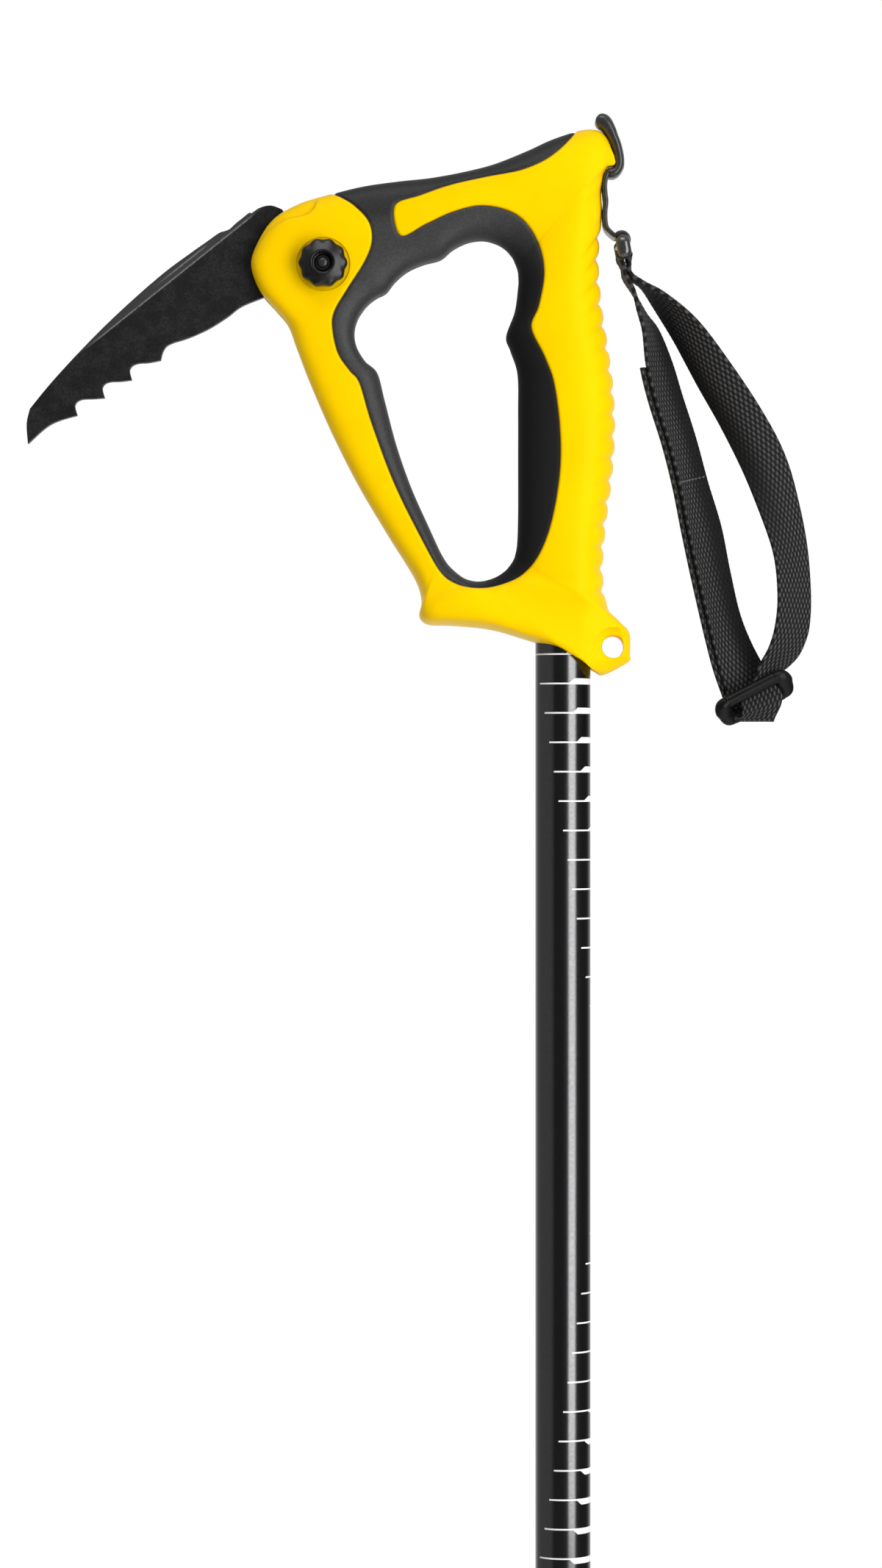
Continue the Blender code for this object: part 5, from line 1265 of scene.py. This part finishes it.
def stitches(name, middles, along, out, half_length=0.00075, half_thick=0.0003):
    """A row of thread stitches, each a long ellipsoid round its own middle."""
    side = np.cross(along, out)
    rows, columns = 9, 10
    u = np.linspace(0, math.pi, rows)[:, None, None]
    v = directions(columns)[None, :, None]
    shape = half_length * np.cos(u) * along + half_thick * np.sin(u) * (np.cos(v) * side + np.sin(v) * out)
    faces = grid_faces(rows, columns, False, True)
    faces = (faces + np.arange(len(middles))[:, None, None] * rows * columns).reshape(-1, 4)
    return clean(add_mesh(name, middles[:, None, None] + shape, faces))


STITCH_HEIGHT = -0.0221          # of the bar of stitches on the strap's left leg
STITCH_PITCH = 0.0017
STITCH_COUNT = 8
LAYER_TOP = 0.015
LAYER_GAP = 0.00025
LAYER_SHIFT = 0.0015             # of the second layer to the left of the first


def make_strap():
    """The loop of webbing, a second layer up its left leg, and the stitches that hold it."""
    route = strap_route()
    strap = webbing("strap_webbing", *even(route, 1040))
    place_piece(strap, "strap", "webbing", WEBBING, "wrist_strap", angle=70)
    leg, _ = even(route[SECOND_LAYER], 220)
    wide, face = ribbon_axes(leg)
    tail = leg.copy()
    tail[:, :3] -= face * (WEB_THICKNESS + LAYER_GAP) + wide * LAYER_SHIFT
    tail = tail[tail[:, 2] < LAYER_TOP]
    layer = webbing("strap_second_layer", tail, travel_along(tail[:, :3])[-1])
    place_piece(layer, "strap", "webbing", WEBBING, angle=70)
    row = np.argmin(np.abs(leg[:, 2] - STITCH_HEIGHT))
    v = (np.arange(STITCH_COUNT) - (STITCH_COUNT - 1) / 2)[:, None] * STITCH_PITCH
    sunk = WEB_THICKNESS / 2 + 0.00005 - leg[row, 6] * (1 - (2 * v / WEB_WIDTH) ** 2)
    bar = stitches("strap_stitches", leg[row, :3] + wide[row] * v + face[row] * sunk, wide[row], face[row])
    place_piece(bar, "strap", "webbing", THREAD)


make_cap()
make_tether()
make_link()
make_slider()
make_strap()


# Pole

BASKET_HOLES = 6


def make_tubes():
    """Three drawn tubes that slide in each other."""
    stack = [("upper", 0.009, TUBE_TOP, "handle", "shaft_black", SHAFT),
             ("middle", 0.008, 0.0248, "middle_section", "shaft_grey", GREY_TUBE),
             ("lower", 0.007, 0.0096, "lower_section", "shaft_grey", GREY_TUBE)]
    for (name, radius, top, body, slot, finish), end in zip(stack, TUBE_ENDS):
        inside = radius - 0.0008
        rows = [(inside, end), (radius, end), (radius, top), (inside, top)]
        tube = turned(name + "_shaft", rows, 0.0002, 2, 128, True)
        place_piece(tube, body, slot, finish, name + "_tube")


def carried(node, name, body, slot, finish, width):
    """A copy of a frame's node, welded, with rounded edges."""
    thing = clean(new_object(name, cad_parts[node].data.copy()), 2e-6, math.radians(0.6))
    if width:
        bevel(thing, width, 2, 28)
    place_piece(thing, body, slot, finish, node, angle=40)


def make_clamps():
    """Collars, levers, pins and screws of both clamps, and the pieces inside the tubes."""
    plastic, steel = ("black_plastic", SATIN), ("hardware_steel", STEEL)
    for side, body in (("upper", "handle"), ("lower", "middle_section")):
        parts = [("collar", body, plastic, 0.0003), ("lever", side + "_lever", plastic, 0.0004),
                 ("pin", body, steel, 0.0002), ("screw", body, steel, 0.0002)]
        for part, rides, look, width in parts:
            carried(f"{side}_lock_{part}", f"{side}_clamp_{part}", rides, *look, width)
    inside = [("shaft_top_plug", "handle", plastic), ("middle_tube_stop", "middle_section", plastic),
              ("lower_tube_stop", "lower_section", plastic), ("pick_washer_front", "handle", steel),
              ("pick_washer_back", "handle", steel), ("strap_cap_screw", "handle", steel)]
    for node, body, look in inside:
        carried(node, node + "_inside", body, *look, 0.0)


def make_foot():
    """Ferrule, steel spike and snow basket, turned and rounded."""
    socket, wide, narrow, hole = 0.0073, 0.0086, 0.005, 0.0029
    seat = TUBE_ENDS[2] - FIT
    top = TUBE_ENDS[2] + 0.016 - FIT
    end, shoulder = top - 0.056, top - 0.026
    deep = end + 0.014
    neck = wide - 0.0012
    rows = [(0, seat), (socket, seat), (socket, top), (wide, top), (wide, shoulder), (neck, shoulder),
            (neck, shoulder - 0.01), (narrow + 0.0008, end + 0.004), (narrow, end), (hole, end),
            (hole, deep), (0, deep)]
    ferrule = turned("ferrule", rows, 0.0006, 4, 96)
    place_piece(ferrule, "lower_section", "black_plastic", SATIN, "tip_ferrule", angle=45)

    shank, point = 0.0026, end - 0.011
    rows = [(0, deep - FIT), (shank, deep - FIT), (shank, end - FIT), (narrow - 0.0006, end - FIT),
            (narrow - 0.001, end - 0.003), (0.8 * shank, point + 0.003), (0.7 * shank, point),
            (0.3 * shank, point + 0.0012), (0, point + 0.0014)]
    spike = turned("steel_spike", rows, 0.0003, 3, 64)
    place_piece(spike, "lower_section", "hardware_steel", STEEL, "spike_tip", angle=40)

    inside, high = neck + FIT, shoulder - FIT
    hub, low = inside + 0.0024, shoulder - 0.01
    edge, sheet = 0.035, 0.0022
    root, rim = low + 0.0012, low - 0.0035
    rows = [(inside, low), (hub, low), (hub + 0.003, root), (edge - 0.003, rim + 0.0004),
            (edge - 0.0016, rim - 0.0002), (edge + 0.0008, rim), (edge + 0.0008, rim + sheet),
            (edge - 0.0016, rim + sheet + 0.0004), (edge - 0.003, rim + sheet + 0.0002),
            (hub + 0.004, root + sheet), (hub, root + 2 * sheet), (hub, high), (inside, high)]
    basket = turned("snow_basket", rows, 0.0009, 4, 144, True)
    middle, length = (hub + edge) / 2 + 0.001, (edge - hub) * 0.26
    spots = np.array([(middle, 0, low - edge), (middle, 0, low + edge)])
    for k in range(BASKET_HOLES):
        tool = sweep("hole_tool", spots, np.array([(1.0, 0, 0)] * 2), np.array([ACROSS] * 2),
                     oval(length, 1.15 * length, 2.4, 40))
        tool.data.transform(Matrix.Rotation(2 * math.pi / BASKET_HOLES * k, 4, "Z"))
        boolean(basket, tool)
    clean(basket, 1e-6)
    bevel(basket, 0.0004, 2, 40)
    place_piece(basket, "lower_section", "black_plastic", SATIN, "basket", angle=40)


make_tubes()
make_clamps()
make_foot()


# Stage

FLOOR = -1.292                   # just below the spike when both slides are drawn out
FLOOR_RADIUS = 1.25
FLOOR_THICKNESS = 0.008
CAMERA_PLACE = (-0.0398, -1.6, -0.1216)
VIEW_HEIGHT = 0.5119             # of what the camera sees at the pole
SENSOR = 36


def make_floor():
    """A pale floor below the drawn-out pole, which shows almost white."""
    low = FLOOR - FLOOR_THICKNESS
    floor = lathe("floor", [(0, FLOOR), (FLOOR_RADIUS, FLOOR), (FLOOR_RADIUS, low), (0, low)], 128)
    pale = Finish("pale_floor", Base_Color=grey(0.86), Roughness=0.9)
    glow = pale.add("Emission", {"Color": grey(1.0), "Strength": 1.0})[0]
    seen = pale.times(pale.add("LightPath")["Is Camera Ray"], 0.75)
    both = pale.add("MixShader", {0: seen, 1: pale.shader.outputs[0], 2: glow})[0]
    pale.put(pale.tree.nodes["Material Output"].inputs["Surface"], both)
    floor.data.materials.append(pale.material)


def make_lamps():
    """Two soft boxes: one from the right, one from above."""
    boxes = [("box_right", (0.84, -1.09, -0.15), (0, 0, -0.15), 0.74, 1.7, 19.0),
             ("box_top", (-0.2, -1.2, 1.7), (-0.02, 0, -0.05), 1.4, 0.9, 13.0)]
    for name, place, aim, width, height, power in boxes:
        lamp = bpy.data.lights.new(name, "AREA")
        lamp.shape, lamp.size, lamp.size_y, lamp.energy = "RECTANGLE", width, height, power
        thing = new_object(name, lamp)
        thing.location = place
        thing.rotation_euler = (Vector(aim) - Vector(place)).to_track_quat("-Z", "Y").to_euler()


def make_world():
    """A white surround for the camera, an even one for soft light, and a darker front for reflections."""
    world = bpy.data.worlds.new("white_surround")
    bpy.context.scene.world = world
    world.use_nodes = True
    nodes = Nodes(world.node_tree)
    nodes.tree.nodes.clear()
    x, y, z = nodes.parts(nodes.add("TexCoord")["Generated"])
    rays = nodes.add("LightPath")
    plain = nodes.mix(nodes.ramp(y, -0.3, 0.6), grey(0.42), grey(0.95))
    tone = nodes.mix(nodes.ramp(x, -0.58, -0.78), grey(0.07), grey(0.29))
    tone = nodes.mix(nodes.ramp(z, 0.2, 0.8), tone, grey(0.45))
    tone = nodes.mix(nodes.ramp(y, 0.45, 0.9), tone, grey(0.62))
    tone = nodes.mix(rays["Is Diffuse Ray"], tone, plain)
    soft, white = [nodes.add("Background", {"Color": colour, "Strength": 1.0})[0]
                   for colour in (tone, grey(1.0))]
    mirrored = nodes.calc("MAXIMUM", rays["Is Glossy Ray"], rays["Is Transmission Ray"])
    straight = nodes.times(mirrored, nodes.ramp(y, 0.8, 1.0))
    seen = nodes.calc("MAXIMUM", rays["Is Camera Ray"], straight)
    nodes.add("OutputWorld", {0: nodes.add("MixShader", {0: seen, 1: soft, 2: white})[0]})


def make_camera():
    """A level view from the front."""
    camera = bpy.data.cameras.new("camera")
    camera.sensor_fit = "VERTICAL"
    camera.sensor_height = SENSOR
    camera.lens = SENSOR * -CAMERA_PLACE[1] / VIEW_HEIGHT
    view = new_object("camera", camera)
    view.location = CAMERA_PLACE
    view.rotation_euler = (math.pi / 2, 0, 0)
    bpy.context.scene.camera = view
    bpy.context.scene.view_settings.view_transform = "Standard"


make_floor()
make_lamps()
make_world()
make_camera()
